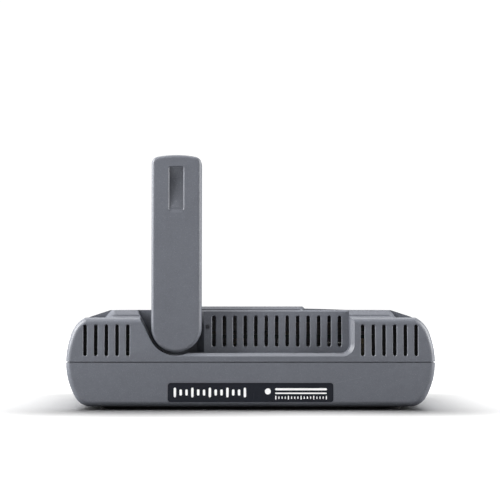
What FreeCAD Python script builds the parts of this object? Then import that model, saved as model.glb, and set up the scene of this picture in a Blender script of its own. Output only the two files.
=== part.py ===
"""Portable aviation receiver with a flip-up aerial blade, as separate solids, in millimetres.

X runs to the right along the front, Y runs from the front to the back, Z is up.
The origin is under the middle of the case, on the surface that its rubber pad stands on.
Each function near the end returns one node: a solid, or a group of like solids.
"""

import FreeCAD, Part
import math
import os

V = FreeCAD.Vector
X_AXIS, Y_AXIS, Z_AXIS = V(1, 0, 0), V(0, 1, 0), V(0, 0, 1)

# ---------------------------------------------------------------- case, overall
BODY_WIDTH = 122.0
BODY_DEPTH = 73.0
PAD_PROUD = 1.2            # how far the rubber pad stands below the case
SEAM_Z = 15.65             # parting line between the two housings
SHELF_Z = 30.5             # shelf along the front, under the plateau
TOP_Z = 33.0               # flat plateau on top
PLATEAU_INSET = 13.85      # from the case's side to the flat plateau, where the roof slope begins
ROOF_SLOPE = 18.0          # degrees, each side of the plateau
UPPER_SIDE_RADIUS = 26.0   # bulge of the sides above the seam
LOWER_SIDE_RADIUS = 22.5   # bulge of the sides below the seam
SHOULDER_ROUND = 9.0
KEEL_ROUND = 6.0           # where the sides turn under
EDGE_ROUND = 1.9           # round on the outlines of the front and back faces
WALL = 2.0
OVERRUN = 5.0              # how far a cutting tool runs past what it cuts

# ---------------------------------------------------------------- brow of the plateau
BROW_SETBACK = 6.6         # from the front face to the plateau's front wall
BROW_SIDE_SETBACK = 10.6   # the same beside the brow's corners
BROW_INSET = 12.7          # from the case's side to the brow's end
BROW_CORNER = 3.1
BROW_BEVEL = 1.6
BROW_FLARE = 0.65          # slanting foot of the brow's wall
CROWN_MARGIN = 13.15       # from the plateau's edge to the shallow arched field on it
CROWN_RISE = 0.7
CROWN_BEHIND = 1.8         # behind the recess's back wall
CROWN_BACK_MARGIN = 8.0

# ---------------------------------------------------------------- seam
REVEAL = 0.35              # height of the shadow groove
REVEAL_DEPTH = 0.5
LIP_RISE = 1.4             # tongue of the lower housing
LIP_THICK = 0.9
LIP_CLEARANCE = 0.1

# ---------------------------------------------------------------- aerial blade and its recess
PIVOT_X = -24.57
PIVOT_Z = 27.37
BLADE_HALF_WIDTH = 8.25
BLADE_REACH = 57.1         # from the pivot to the tip
BLADE_THICK = 7.6
BLADE_TIP_CORNER = 2.4
BLADE_TIP_RADIUS = 33.0    # gentle crown across the tip
BLADE_FRONT_ROUND = 1.1
BLADE_BACK_ROUND = 0.8
BLADE_WALL = 1.3
BLADE_REAR_DEPTH = 3.7     # depth of the rear cover
BLADE_REVEAL = 0.25
BLADE_BEHIND = 0.6         # room behind the blade in its recess
RECESS_WALL = 1.8
POCKET_CLEARANCE = 1.15    # round the hub end of the blade
STOW_CLEARANCE = 0.4       # under the stowed blade
TIP_CLEARANCE = 0.5        # past the stowed blade's tip
RECESS_CORNER = 2.9
RIM_BEVEL = 1.3
RIM_BEVEL_LEDGE = 0.95
RIM_BEVEL_BACK = 0.5       # along the top of the recess's back wall
LEAN_LIMIT = 25.0          # degrees the blade leans back past upright
LEAN_MARGIN = 2.0          # degrees left at that limit
HUB_WELL_DEPTH = 2.4       # the recess is this much deeper behind the hub
HUB_WELL_SIDE = 0.75       # beside the blade's hub, to the well's right edge
HUB_BOSS_R = 6.2
DETENT_SIDE = 1.85         # from the upright blade's edge to the detent dimple
DETENT_DIMPLE_R = 0.75
DETENT_DIMPLE_DEPTH = 0.9
DETENT_NUB_R = 0.55
DETENT_NUB_PROUD = 0.4

# inside the blade
BLADE_SCREW_ARMS = (14.0, 48.0)
BLADE_SCREW_R = 0.8
BLADE_SCREW_HEAD_R = 1.45
BLADE_SCREW_HEAD_THICK = 0.9
BLADE_SCREW_SUNK = 0.15
BLADE_SCREW_BITE = 2.0     # depth of the pilot holes in the front cover
BLADE_POST_R = 2.2
BLADE_BOARD_THICK = 0.8
BLADE_BOARD_GAP = 0.1      # between the board's copper and the blade's parting line
BLADE_BOARD_SIDE_GAP = 1.2
BLADE_BOARD_FOOT = 6.0     # above the pivot
BLADE_BOARD_HEAD = 2.6     # below the inside of the tip
COPPER_THICK = 0.1
COPPER_WIDTH = 1.1

# thumb groove near the tip
GROOVE_WIDTH = 5.3
GROOVE_TOP_ARM = 52.8      # distance from the pivot to the groove's upper end
GROOVE_LENGTH = 14.9
GROOVE_DEPTH = 1.5
GROOVE_DEEP_AT = 4.2       # from its upper end to its deepest line
GROOVE_EDGE = 0.35
GROOVE_SKIN = 1.2

# ---------------------------------------------------------------- hinge
SHAFT_R = 2.2
SHAFT_BORE_R = 1.0
SHAFT_FLANGE = 2.4         # flange round the shaft, inside the blade
SHAFT_FLANGE_THICK = 1.0
SHAFT_TAIL = 0.9
BUSH_WALL = 0.7
BUSH_FLANGE = 0.55
BUSH_FLANGE_THICK = 0.8
HINGE_RELIEF = 0.15        # round the bush's flange, under the top of the case
RUNNING_CLEARANCE = 0.05
THRUST_WASHER_R = 5.6
THRUST_GAP = 0.05
SPRING_WASHER_THICK = 0.35
SPRING_WASHER_CONE = 0.3
CLIP_THICK = 0.7
CLIP_BAND = 1.1            # clip outside the shaft
CLIP_GROOVE = 0.45

# ---------------------------------------------------------------- vents
VENT_PITCH = 3.52
VENT_WIDTH = 1.2
VENT_LENGTH = 10.3
VENT_FACE_Z = 23.0
VENT_RECESS_Z = 25.9
VENT_EDGE = 0.22
VENT_MARGIN = 1.2          # least land between a vent and the recess
VENT_SIDE_MARGIN = 0.3     # the same to the round at the case's side
VENT_WELL_MARGIN = 0.8     # the same to the hub well
SCREEN_THICK = 0.5
SCREEN_LAP = 1.0

# ---------------------------------------------------------------- status panel and power button
PANEL_WIDTH = 37.0
PANEL_DEPTH = 37.5
PANEL_BEHIND = 0.9         # lip between the recess's back wall and the panel
PANEL_TOP_Z = 34.2
PANEL_BEVEL = 0.9
PANEL_CORNER = 3.0
PANEL_THICK = 1.9
PANEL_GAP = 0.12
LIGHT_COUNT = 5
LIGHT_PITCH = 6.2
LIGHT_WIDTH = 3.0
LIGHT_DEPTH = 1.2
LIGHT_INSET = 9.5          # from the panel's front edge
LIGHT_GAP = 0.05
BUTTON_R = 5.0
BUTTON_GAP = 0.25
BUTTON_TRAVEL = 0.6
BUTTON_SUNK = 0.05         # the key's rim below the panel's top
BUTTON_INSET = 24.0        # from the panel's front edge
BUTTON_SKIRT_R = 6.2
BUTTON_SKIRT_THICK = 0.45
BUTTON_SKIRT_GAP = 0.05
BUTTON_STEM_R = 1.6
PANEL_OVER_SKIRT = 0.7     # panel left above the skirt
SWITCH_HALF = 3.0
SWITCH_HEIGHT = 3.0
SWITCH_STEM_R = 1.2
SWITCH_STEM_PROUD = 1.6
SWITCH_FLOOR = 0.6
LED_HEIGHT = 0.8
LED_TO_PIPE = 0.3

# ---------------------------------------------------------------- label and pad
LABEL_WIDTH = 54.4
LABEL_HEIGHT = 6.2
LABEL_Z = 5.9
LABEL_CORNER = 0.9
LABEL_THICK = 0.35
LABEL_SUNK = 0.05
LABEL_GAP = 0.08
PAD_SIDE_INSET = 10.7
PAD_END_INSET = 5.0
PAD_CORNER = 6.0
PAD_SUNK = 0.5
PAD_EDGE = 0.25

# ---------------------------------------------------------------- screws and bosses
SCREW_SIDE_INSET = 15.0
SCREW_END_INSET = 10.5
SCREW_R = 1.25
SCREW_HEAD_R = 2.3
SCREW_HEAD_THICK = 1.5
SCREW_LENGTH = 17.5
SCREW_CLEARANCE = 0.15
SCREW_THREAD_GAP = 0.02
SCREW_RECESS = 0.7         # head below the pad
BOSS_R = 3.4
PILLAR_R = 3.0
COUNTERBORE_GAP = 0.3

# ---------------------------------------------------------------- boards, antennas, battery
BOARD_SIDE_GAP = 4.0       # between the board and the case walls
BOARD_FRONT = 16.5         # from the front face to the board's front edge, behind the recess
BOARD_EAR_FRONT = 5.5      # the same for the ears that reach forward to the screws
BOARD_EAR_WIDTH = 13.5
BOARD_BACK = 3.4
BOARD_Z = 15.6
BOARD_THICK = 1.6
BOARD_CORNER = 2.0
DECK_SIDE_GAP = 1.0        # between the antenna board and the pillars
DECK_FRONT = 15.0
DECK_BACK = 17.0
DECK_STAND = 6.2           # height of the pillars between the boards
DECK_THICK = 1.2
DECK_POST_INSET = 3.5
DECK_NOTCH_HALF = 4.6      # room for the hinge and its lead
STANDOFF_R = 2.4
DECK_SCREW_R = 0.95
PATCH_SIZE = 25.0
PATCH_GAP = 14.0           # between the two patches, round the switch
PATCH_MARGIN = 1.6         # bare ceramic round the silvered face
PATCH_FACE_THICK = 0.15
POSITION_PATCH_THICK = 4.0
SATELLITE_PATCH_THICK = 4.6
CAN_HEIGHT = 3.2
CAN_SKIN = 0.25
CAN_DEPTH = 22.0
CAN_COUNT = 3
CAN_GAP = 3.0
CAN_SIDE_ROOM = 20.0       # from the board's end to the row of cans
CAN_Y = 2.0
BATTERY_WIDTH = 66.0
BATTERY_DEPTH = 50.0
BATTERY_THICK = 10.2
BATTERY_FOAM = 0.8
BATTERY_RIB_HEIGHT = 4.0
BATTERY_RIB_THICK = 1.2
BATTERY_RIB_GAP = 0.4
BATTERY_PLUG_OUT = 5.5     # from the pack's end to the middle of its plug
BATTERY_PLUG_HALF = 2.5
BATTERY_PLUG_HEIGHT = 4.0
BATTERY_WIRE_R = 0.6
BATTERY_WIRE_DROP = 3.0    # below the main board

# ---------------------------------------------------------------- sockets in the back
SOCKET_RISE = 3.7          # from the main board to the middle of the round sockets
COAX_JACK_INSET = 8.0      # from the screws to the first coaxial socket
COAX_JACK_PITCH = 16.0
COAX_JACK_COUNT = 3
COAX_JACK_R = 3.1
COAX_JACK_BORE_R = 1.8
COAX_JACK_BORE = 3.2
COAX_JACK_DEEP = 3.0       # length of the insulator behind the open bore
COAX_JACK_BLOCK = 7.0
CONTACT_R = 0.55
JACK_GAP = 0.15            # round each socket, in the back wall
JACK_SET_IN = 0.1          # sockets stop this far inside the back face
JACK_COLLAR = 2.0          # collar's length inside the wall
JACK_BLOCK_BACK = 3.2      # from the back face to the blocks
JACK_CHAMFER = 0.4
AUDIO_X = 14.0
AUDIO_R = 3.6
AUDIO_BORE_R = 1.8
AUDIO_BORE = 14.0
AUDIO_BLOCK = 7.4
USB_INSET = 13.0           # from the screws to the middle of the socket
USB_WIDTH = 8.0
USB_HEIGHT = 3.2
USB_SHELL = 0.4
USB_DEPTH = 7.0
USB_BEZEL = 0.8

# ---------------------------------------------------------------- coax inside
COAX_R = 0.5
COAX_BEND = 3.0
BLADE_COAX_BEND = 1.6
COAX_PLUG_R = 1.6
COAX_PLUG_HEIGHT = 2.4
COAX_STUB = 0.4            # from the shaft's end to where the two leads meet
COAX_RUN = 2.0
BLADE_COAX_BEHIND = 0.75   # behind the blade's parting line

# ---------------------------------------------------------------- worked-out places
FRONT_Y = -BODY_DEPTH / 2
BACK_Y = BODY_DEPTH / 2
BOTTOM_Z = PAD_PROUD
PLATEAU_WIDTH = BODY_WIDTH - 2 * PLATEAU_INSET
BROW_WIDTH = BODY_WIDTH - 2 * BROW_INSET
CROWN_WIDTH = PLATEAU_WIDTH - 2 * CROWN_MARGIN
PAD_WIDTH = BODY_WIDTH - 2 * PAD_SIDE_INSET
PAD_DEPTH = BODY_DEPTH - 2 * PAD_END_INSET
SCREW_X = BODY_WIDTH / 2 - SCREW_SIDE_INSET
SCREW_Y = BODY_DEPTH / 2 - SCREW_END_INSET
BOARD_WIDTH = BODY_WIDTH - 2 * (WALL + BOARD_SIDE_GAP)
DECK_WIDTH = 2 * (SCREW_X - PILLAR_R - DECK_SIDE_GAP)
RECESS_DEPTH = BLADE_THICK + BLADE_BEHIND
HUB_WELL_REACH = BLADE_HALF_WIDTH + HUB_WELL_SIDE
DETENT_ARM = BLADE_HALF_WIDTH + DETENT_SIDE
SHAFT_FLANGE_R = SHAFT_R + SHAFT_FLANGE
BUSH_R = SHAFT_R + BUSH_WALL
BUSH_FLANGE_R = BUSH_R + BUSH_FLANGE
CLIP_R = SHAFT_R + CLIP_BAND
CLIP_GROOVE_R = SHAFT_R - CLIP_GROOVE
RECESS_Y = FRONT_Y + RECESS_DEPTH
WELL_Y = RECESS_Y + HUB_WELL_DEPTH
HINGE_INNER_Y = WELL_Y + RECESS_WALL
BLADE_BACK_Y = FRONT_Y + BLADE_THICK
LEDGE_Z = PIVOT_Z - BLADE_HALF_WIDTH - STOW_CLEARANCE
RECESS_RIGHT_X = PIVOT_X + BLADE_REACH + TIP_CLEARANCE
POCKET_R = BLADE_HALF_WIDTH + POCKET_CLEARANCE
BOARD_TOP_Z = BOARD_Z + BOARD_THICK
DECK_Z = BOARD_TOP_Z + DECK_STAND
DECK_TOP_Z = DECK_Z + DECK_THICK
CEILING_Z = TOP_Z - WALL
PANEL_FRONT_Y = RECESS_Y + PANEL_BEHIND
PANEL_BACK_Y = PANEL_FRONT_Y + PANEL_DEPTH
PANEL_FLOOR_Z = PANEL_TOP_Z - PANEL_THICK
LIGHT_Y = PANEL_FRONT_Y + LIGHT_INSET
BUTTON_Y = PANEL_FRONT_Y + BUTTON_INSET
LED_TOP_Z = DECK_TOP_Z + LED_HEIGHT
SKIRT_Z = PANEL_TOP_Z - PANEL_OVER_SKIRT - BUTTON_SKIRT_GAP - BUTTON_SKIRT_THICK
SWITCH_STEM_TOP_Z = DECK_TOP_Z + SWITCH_HEIGHT + SWITCH_STEM_PROUD
SCREW_PLACES = [(x, y) for x in (-SCREW_X, SCREW_X) for y in (-SCREW_Y, SCREW_Y)]
SOCKET_Z = BOARD_TOP_Z + SOCKET_RISE
COAX_JACK_X = [-SCREW_X + COAX_JACK_INSET + COAX_JACK_PITCH * i for i in range(COAX_JACK_COUNT)]
USB_X = SCREW_X - USB_INSET
BATTERY_PLUG_X = BATTERY_WIDTH / 2 + BATTERY_PLUG_OUT
SCREW_TOP_Z = SCREW_RECESS + SCREW_HEAD_THICK + SCREW_LENGTH
BLADE_SPLIT_Y = BLADE_BACK_Y - BLADE_REAR_DEPTH
BLADE_BOARD_BACK_Y = BLADE_SPLIT_Y - BLADE_BOARD_GAP
BLADE_SCREW_HEAD_Y = BLADE_BACK_Y - BLADE_SCREW_SUNK
BUSH_END_Y = HINGE_INNER_Y + BUSH_FLANGE_THICK
CLIP_Y = BUSH_END_Y + SPRING_WASHER_THICK + SPRING_WASHER_CONE + THRUST_GAP
SHAFT_END_Y = CLIP_Y + CLIP_THICK + SHAFT_TAIL
SHAFT_HEAD_Y = BLADE_BACK_Y - BLADE_WALL - SHAFT_FLANGE_THICK
COAX_MEET_Y = SHAFT_END_Y + COAX_STUB
COAX_PLUG_Y = COAX_MEET_Y + COAX_BEND + COAX_RUN


# ================================================================ helpers
def box(x0, x1, y0, y1, z0, z1):
    return Part.makeBox(x1 - x0, y1 - y0, z1 - z0, V(x0, y0, z0))


def rod_y(x, z, r, y0, y1):
    """Cylinder along Y."""
    return Part.makeCylinder(r, y1 - y0, V(x, y0, z), Y_AXIS)


def rod_z(x, y, r, z0, z1):
    """Cylinder along Z."""
    return Part.makeCylinder(r, z1 - z0, V(x, y, z0), Z_AXIS)


def fuse(shapes):
    shapes = list(shapes)
    if len(shapes) == 1:
        return shapes[0]
    return shapes[0].fuse(shapes[1:]).removeSplitter()


def group(shapes):
    return Part.makeCompound(list(shapes))


def rounded_outline(half_u, half_v, r):
    """Start, middle and end of each corner arc of a rounded rectangle round the origin."""
    edges = []
    corners = [(1, 1), (-1, 1), (-1, -1), (1, -1)]
    for i, (su, sv) in enumerate(corners):
        cu, cv = su * (half_u - r), sv * (half_v - r)
        a0 = math.radians(90 * i)
        on = [(cu + r * math.cos(a0 + t), cv + r * math.sin(a0 + t)) for t in (0, math.pi / 4, math.pi / 2)]
        edges.append(on)
    return edges


def rounded_wire(half_u, half_v, r, place):
    """Closed wire of a rounded rectangle. place(u, v) gives each point in space."""
    arcs = rounded_outline(half_u, half_v, r)
    edges = []
    for i, (a, m, b) in enumerate(arcs):
        edges.append(Part.Arc(place(*a), place(*m), place(*b)).toShape())
        start_next = arcs[(i + 1) % 4][0]
        edges.append(Part.LineSegment(place(*b), place(*start_next)).toShape())
    return Part.Wire(edges)


def slab_z(half_x, half_y, r, z0, z1, x=0.0, y=0.0):
    """Upright prism with rounded corners, seen from above."""
    wire = rounded_wire(half_x, half_y, r, lambda u, v: V(x + u, y + v, z0))
    return Part.Face(wire).extrude(V(0, 0, z1 - z0))


def slab_y(half_x, half_z, r, y0, y1, x=0.0, z=0.0):
    """Prism along Y with rounded corners, seen from the front."""
    wire = rounded_wire(half_x, half_z, r, lambda u, v: V(x + u, y0, z + v))
    return Part.Face(wire).extrude(V(0, y1 - y0, 0))


def taper_y(half_x, half_z, r, y0, y1, grow, x=0.0, z=0.0):
    """Like slab_y, but its outline at y0 is larger by grow on every side."""
    near = rounded_wire(half_x + grow, half_z + grow, r + grow, lambda u, v: V(x + u, y0, z + v))
    far = rounded_wire(half_x, half_z, r, lambda u, v: V(x + u, y1, z + v))
    return Part.makeLoft([near, far], True, True)


def ring_y(x, z, r_out, r_in, y0, y1):
    return rod_y(x, z, r_out, y0, y1).cut(rod_y(x, z, r_in, y0 - OVERRUN, y1 + OVERRUN))


def wire_through(points, closed=True):
    """Wire of straight lines and arcs: a point is (x, z), an arc is (mid, end)."""
    def at(p):
        return V(p[0], 0, p[1])

    edges = []
    here = points[0]
    for step in points[1:]:
        if isinstance(step[0], tuple):
            mid, end = step
            edges.append(Part.Arc(at(here), at(mid), at(end)).toShape())
            here = end
        else:
            edges.append(Part.LineSegment(at(here), at(step)).toShape())
            here = step
    if closed:
        edges.append(Part.LineSegment(at(here), at(points[0])).toShape())
    return Part.Wire(edges)


def edges_where(shape, test):
    return [e for e in shape.Edges if test(e)]


# ================================================================ outer form of the case
def side_point(radius, inset, z):
    """Point of a side bulge at height z: the bulge is an arc about the seam's level."""
    r = radius - inset
    return BODY_WIDTH / 2 - radius + math.sqrt(r * r - (z - SEAM_Z) ** 2), z


def roof_meets_side(inset):
    """Where the roof slope meets the upper side bulge."""
    slope = math.radians(ROOF_SLOPE)
    r = UPPER_SIDE_RADIUS - inset
    cx, cz = BODY_WIDTH / 2 - UPPER_SIDE_RADIUS, SEAM_Z
    nx, nz = math.sin(slope), math.cos(slope)
    reach = nx * (PLATEAU_WIDTH / 2 - cx) + nz * (TOP_Z - cz) - inset
    along = math.sqrt(r * r - reach * reach)
    return cx + nx * reach + nz * along, cz + nz * reach - nx * along


def case_section(inset):
    """Front view of the case, pulled in by inset, as one closed wire at Y = 0."""
    top = TOP_Z - inset
    slope = math.radians(ROOF_SLOPE)
    roof_x = PLATEAU_WIDTH / 2 - inset * math.tan(slope / 2)
    sx, sz = roof_meets_side(inset)
    bottom = BOTTOM_Z + inset
    kx, kz = side_point(LOWER_SIDE_RADIUS, inset, bottom)
    upper_mid = side_point(UPPER_SIDE_RADIUS, inset, (SEAM_Z + sz) / 2)
    lower_mid = side_point(LOWER_SIDE_RADIUS, inset, (SEAM_Z + bottom) / 2)
    seam = (BODY_WIDTH / 2 - inset, SEAM_Z)

    def left(p):
        return -p[0], p[1]

    return wire_through([
        seam,
        (upper_mid, (sx, sz)),
        (roof_x, top),
        (-roof_x, top),
        left((sx, sz)),
        (left(upper_mid), left(seam)),
        (left(lower_mid), left((kx, kz))),
        (kx, kz),
        (lower_mid, seam),
    ], closed=False)


def case_prism(inset, y0, y1):
    prism = Part.Face(case_section(inset)).extrude(V(0, y1 - y0, 0))
    prism.translate(V(0, y0, 0))
    return prism


def brow_keep(inset):
    """What the plateau, its brow and the shelf leave standing."""
    wide = BODY_WIDTH
    far = BACK_Y + OVERRUN
    low = box(-wide, wide, FRONT_Y - OVERRUN, far, -OVERRUN, SHELF_Z - inset)
    back = box(-wide, wide, FRONT_Y + BROW_SIDE_SETBACK + inset, far, -OVERRUN, TOP_Z + OVERRUN)
    y0 = FRONT_Y + BROW_SETBACK + inset
    half_y = (far - y0) / 2
    mid_y = (far + y0) / 2
    half_x = BROW_WIDTH / 2 - inset
    bevel_z = TOP_Z - BROW_BEVEL - inset
    straight = slab_z(half_x, half_y, BROW_CORNER, -OVERRUN, bevel_z, 0, mid_y)
    toe = rounded_wire(half_x + BROW_FLARE, half_y + BROW_FLARE, BROW_CORNER + BROW_FLARE,
                       lambda u, v: V(u, mid_y + v, SHELF_Z - inset))
    ankle = rounded_wire(half_x, half_y, BROW_CORNER,
                         lambda u, v: V(u, mid_y + v, SHELF_Z + BROW_FLARE - inset))
    flare = Part.makeLoft([toe, ankle], True, True)
    foot = rounded_wire(half_x, half_y, BROW_CORNER, lambda u, v: V(u, mid_y + v, bevel_z))
    head = rounded_wire(half_x - BROW_BEVEL, half_y - BROW_BEVEL, BROW_CORNER - BROW_BEVEL,
                        lambda u, v: V(u, mid_y + v, TOP_Z - inset))
    bevel = Part.makeLoft([foot, head], True, True)
    return fuse([low, back, straight, flare, bevel])


def crown():
    """Shallow arched field on the plateau, a segment of a cylinder along Y."""
    half = CROWN_WIDTH / 2
    y0, y1 = RECESS_Y + CROWN_BEHIND, BACK_Y - CROWN_BACK_MARGIN
    wire = wire_through([(half, TOP_Z), ((0, TOP_Z + CROWN_RISE), (-half, TOP_Z))])
    return Part.Face(wire).extrude(V(0, y1 - y0, 0)).translated(V(0, y0, 0))


def outer_form():
    """The whole case as one block, with its edges rounded."""
    form = case_prism(0, FRONT_Y, BACK_Y)
    sx, sz = roof_meets_side(0)
    kx, _ = side_point(LOWER_SIDE_RADIUS, 0, BOTTOM_Z)

    def lengthwise(e, x, z):
        c = e.CenterOfMass
        return abs(abs(c.x) - x) < 0.05 and abs(c.z - z) < 0.05 and e.Length > BODY_DEPTH - 0.1

    form = form.makeFillet(SHOULDER_ROUND, edges_where(form, lambda e: lengthwise(e, sx, sz)))
    form = form.makeFillet(KEEL_ROUND, edges_where(form, lambda e: lengthwise(e, kx, BOTTOM_Z)))
    form = form.common(brow_keep(0))

    def on_end(e):
        b = e.BoundBox
        return b.YLength < 0.01 and abs(abs(b.YMin) - BODY_DEPTH / 2) < 0.01

    form = form.makeFillet(EDGE_ROUND, edges_where(form, on_end))
    return fuse([form, crown()])


def inner_form():
    """The space inside the case walls."""
    return case_prism(WALL, FRONT_Y + WALL, BACK_Y - WALL).common(brow_keep(WALL))


# ================================================================ recess for the stowed blade
def recess_outline(grow, ledge_z, right_x, corner):
    """Front view of the recess, open at the top: hub pocket and stop line on the left, ledge, right wall."""
    r = POCKET_R + grow
    lean = math.radians(LEAN_LIMIT + LEAN_MARGIN)
    tangent = (PIVOT_X - r * math.cos(lean), PIVOT_Z - r * math.sin(lean))
    top_z = TOP_Z + 2 * OVERRUN
    top_left = (tangent[0] - (top_z - tangent[1]) * math.tan(lean), top_z)
    drop = PIVOT_Z - ledge_z
    leave_x = PIVOT_X + math.sqrt(max(r * r - drop * drop, 0.0))
    mid_a = math.radians(235)
    pocket_mid = (PIVOT_X + r * math.cos(mid_a), PIVOT_Z + r * math.sin(mid_a))
    c45 = corner * (1 - math.sqrt(0.5))
    return wire_through([
        top_left,
        tangent,
        (pocket_mid, (leave_x, ledge_z)),
        (right_x - corner, ledge_z),
        ((right_x - c45, ledge_z + c45), (right_x, ledge_z + corner)),
        (right_x, top_z),
    ])


def recess_prism(grow, y0, y1):
    """The recess's outline as a prism, grown by a wall."""
    wire = recess_outline(grow, LEDGE_Z - grow, RECESS_RIGHT_X + grow, RECESS_CORNER + grow)
    return Part.Face(wire).extrude(V(0, y1 - y0, 0)).translated(V(0, y0, 0))


def hub_well(grow):
    """Deeper part of the recess behind the blade's hub, with a slanting right side, seen from above."""
    y0, y1 = RECESS_Y - 1, WELL_Y + grow
    edge = PIVOT_X + HUB_WELL_REACH + grow
    far = PIVOT_X - 4 * HUB_WELL_REACH
    back = edge - HUB_WELL_DEPTH
    corners = [(edge + 1, y0), (edge - grow, RECESS_Y + grow), (back - grow, y1), (far, y1), (far, y0)]
    points = [V(x, y, 0) for x, y in corners]
    plan = Part.Face(Part.makePolygon(points + points[:1])).extrude(V(0, 0, TOP_Z + 2 * OVERRUN))
    return plan.common(recess_prism(grow, y0, y1))


def recess_cutter():
    return recess_prism(0, FRONT_Y - OVERRUN, RECESS_Y).fuse(hub_well(0))


def recess_rim_cutter():
    """Bevelled rim along the ledge and the right wall."""
    top_z = TOP_Z + 2 * OVERRUN

    def outline(side, under, y):
        right, ledge = RECESS_RIGHT_X + side, LEDGE_Z - under
        corner = RECESS_CORNER + (side + under) / 2
        c45 = corner * (1 - math.sqrt(0.5))
        wire = wire_through([
            (PIVOT_X, top_z),
            (PIVOT_X, ledge),
            (right - corner, ledge),
            ((right - c45, ledge + c45), (right, ledge + corner)),
            (right, top_z),
        ])
        return wire.translated(V(0, y, 0))

    inner = outline(0.0, 0.0, FRONT_Y + RIM_BEVEL)
    outer = outline(RIM_BEVEL, RIM_BEVEL_LEDGE, FRONT_Y)
    return Part.makeLoft([outer, inner], True, True)


def recess_back_bevel():
    """Bevel along the top of the recess's back wall."""
    z, y, deep = TOP_Z, RECESS_Y, RIM_BEVEL_BACK
    points = [V(0, y - 1, z - deep - 1), V(0, y + deep + 1, z + 1), V(0, y - 1, z + 1)]
    wedge = Part.Face(Part.makePolygon(points + points[:1])).extrude(V(2 * BODY_WIDTH, 0, 0))
    return wedge.translated(V(-BODY_WIDTH, 0, 0)).common(recess_prism(0, y - 1, y + deep + 1))


def recess_block(grow=0.0):
    """The recess with its walls: what the recess takes from the space inside."""
    wall = RECESS_WALL + grow
    return recess_prism(wall, FRONT_Y, RECESS_Y + wall).fuse(hub_well(wall))


# ================================================================ vents
def vent_row():
    """Middles of all the slots that fit across the face, recess and all, evenly about the middle."""
    face_x, _ = side_point(UPPER_SIDE_RADIUS, EDGE_ROUND, VENT_FACE_Z + VENT_LENGTH / 2)
    half_count = int((face_x - VENT_SIDE_MARGIN - VENT_WIDTH / 2) / VENT_PITCH + 0.5)
    return [(k + 0.5) * VENT_PITCH for k in range(-half_count, half_count)]


def recess_left_x(z):
    """Outer edge of the recess's sloping left side at height z."""
    lean = math.radians(LEAN_LIMIT + LEAN_MARGIN)
    r = POCKET_R
    tx, tz = PIVOT_X - r * math.cos(lean), PIVOT_Z - r * math.sin(lean)
    return tx - max(z - tz, 0) * math.tan(lean)


def vent_places():
    """(x, z, outer surface y) for each vent that has room: in the recess, or on the front face."""
    places = []
    half = VENT_WIDTH / 2 + VENT_MARGIN
    face_top = VENT_FACE_Z + VENT_LENGTH / 2
    well_edge = PIVOT_X + HUB_WELL_REACH
    for x in vent_row():
        if well_edge + VENT_WIDTH / 2 + VENT_WELL_MARGIN < x < RECESS_RIGHT_X - half:
            places.append((x, VENT_RECESS_Z, RECESS_Y))
        elif x < recess_left_x(face_top) - half or x > RECESS_RIGHT_X + RIM_BEVEL + half:
            places.append((x, VENT_FACE_Z, FRONT_Y))
    return places


def vent_cutters():
    cutters = []
    for x, z, y in vent_places():
        half_x, half_z = VENT_WIDTH / 2, VENT_LENGTH / 2
        r = half_x - 0.01
        through = WALL + OVERRUN / 5
        cutters.append(slab_y(half_x, half_z, r, y - 0.5, y + through, x, z))
        cutters.append(taper_y(half_x, half_z, r, y, y + VENT_EDGE, VENT_EDGE, x, z))
    return cutters


def vent_screens():
    """Woven black dust screens on the inner side of each vent field."""
    fields = {}
    for x, z, y in vent_places():
        side = "recess" if y == RECESS_Y else ("left" if x < 0 else "right")
        fields.setdefault(side, []).append((x, z, y))
    screens = []
    room = inner_form()
    for places in fields.values():
        xs = [p[0] for p in places]
        z = places[0][1]
        wall = RECESS_WALL if places[0][2] == RECESS_Y else WALL
        y0 = places[0][2] + wall
        half_x = (max(xs) - min(xs)) / 2 + VENT_WIDTH / 2 + SCREEN_LAP
        half_z = VENT_LENGTH / 2 - SCREEN_LAP / 4
        half_z = min(half_z, CEILING_Z - z)
        mid = (max(xs) + min(xs)) / 2
        screen = box(mid - half_x, mid + half_x, y0, y0 + SCREEN_THICK, z - half_z, z + half_z)
        screens.append(screen.common(room))
    return group(screens)


# ================================================================ housings
def band(inset, z0, z1):
    """Rounded rectangle prism that follows the case's outline at the seam."""
    r = max(EDGE_ROUND - inset, 0.3)
    return slab_z(BODY_WIDTH / 2 - inset, BODY_DEPTH / 2 - inset, r, z0, z1)


def rear_openings():
    """Holes through the back wall for the sockets."""
    y0, y1 = BACK_Y - WALL - OVERRUN / 5, BACK_Y + OVERRUN
    holes = [rod_y(x, SOCKET_Z, COAX_JACK_R + JACK_GAP, y0, y1) for x in COAX_JACK_X]
    holes.append(rod_y(AUDIO_X, SOCKET_Z, AUDIO_R + JACK_GAP, y0, y1))
    half_x, half_z = USB_WIDTH / 2 + JACK_GAP, USB_HEIGHT / 2 + JACK_GAP
    usb_z = BOARD_TOP_Z + USB_HEIGHT / 2
    holes.append(slab_y(half_x, half_z, USB_BEZEL, y0, y1, USB_X, usb_z))
    holes.append(taper_y(half_x, half_z, USB_BEZEL, BACK_Y, BACK_Y - USB_BEZEL, USB_BEZEL / 2, USB_X, usb_z))
    return holes


def panel_pocket():
    half_x, half_y = PANEL_WIDTH / 2 + PANEL_GAP, PANEL_DEPTH / 2 + PANEL_GAP
    mid_y = (PANEL_FRONT_Y + PANEL_BACK_Y) / 2
    return slab_z(half_x, half_y, PANEL_CORNER, PANEL_FLOOR_Z, PANEL_TOP_Z + OVERRUN, 0, mid_y)


def light_places():
    return [((i - (LIGHT_COUNT - 1) / 2) * LIGHT_PITCH, LIGHT_Y) for i in range(LIGHT_COUNT)]


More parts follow.
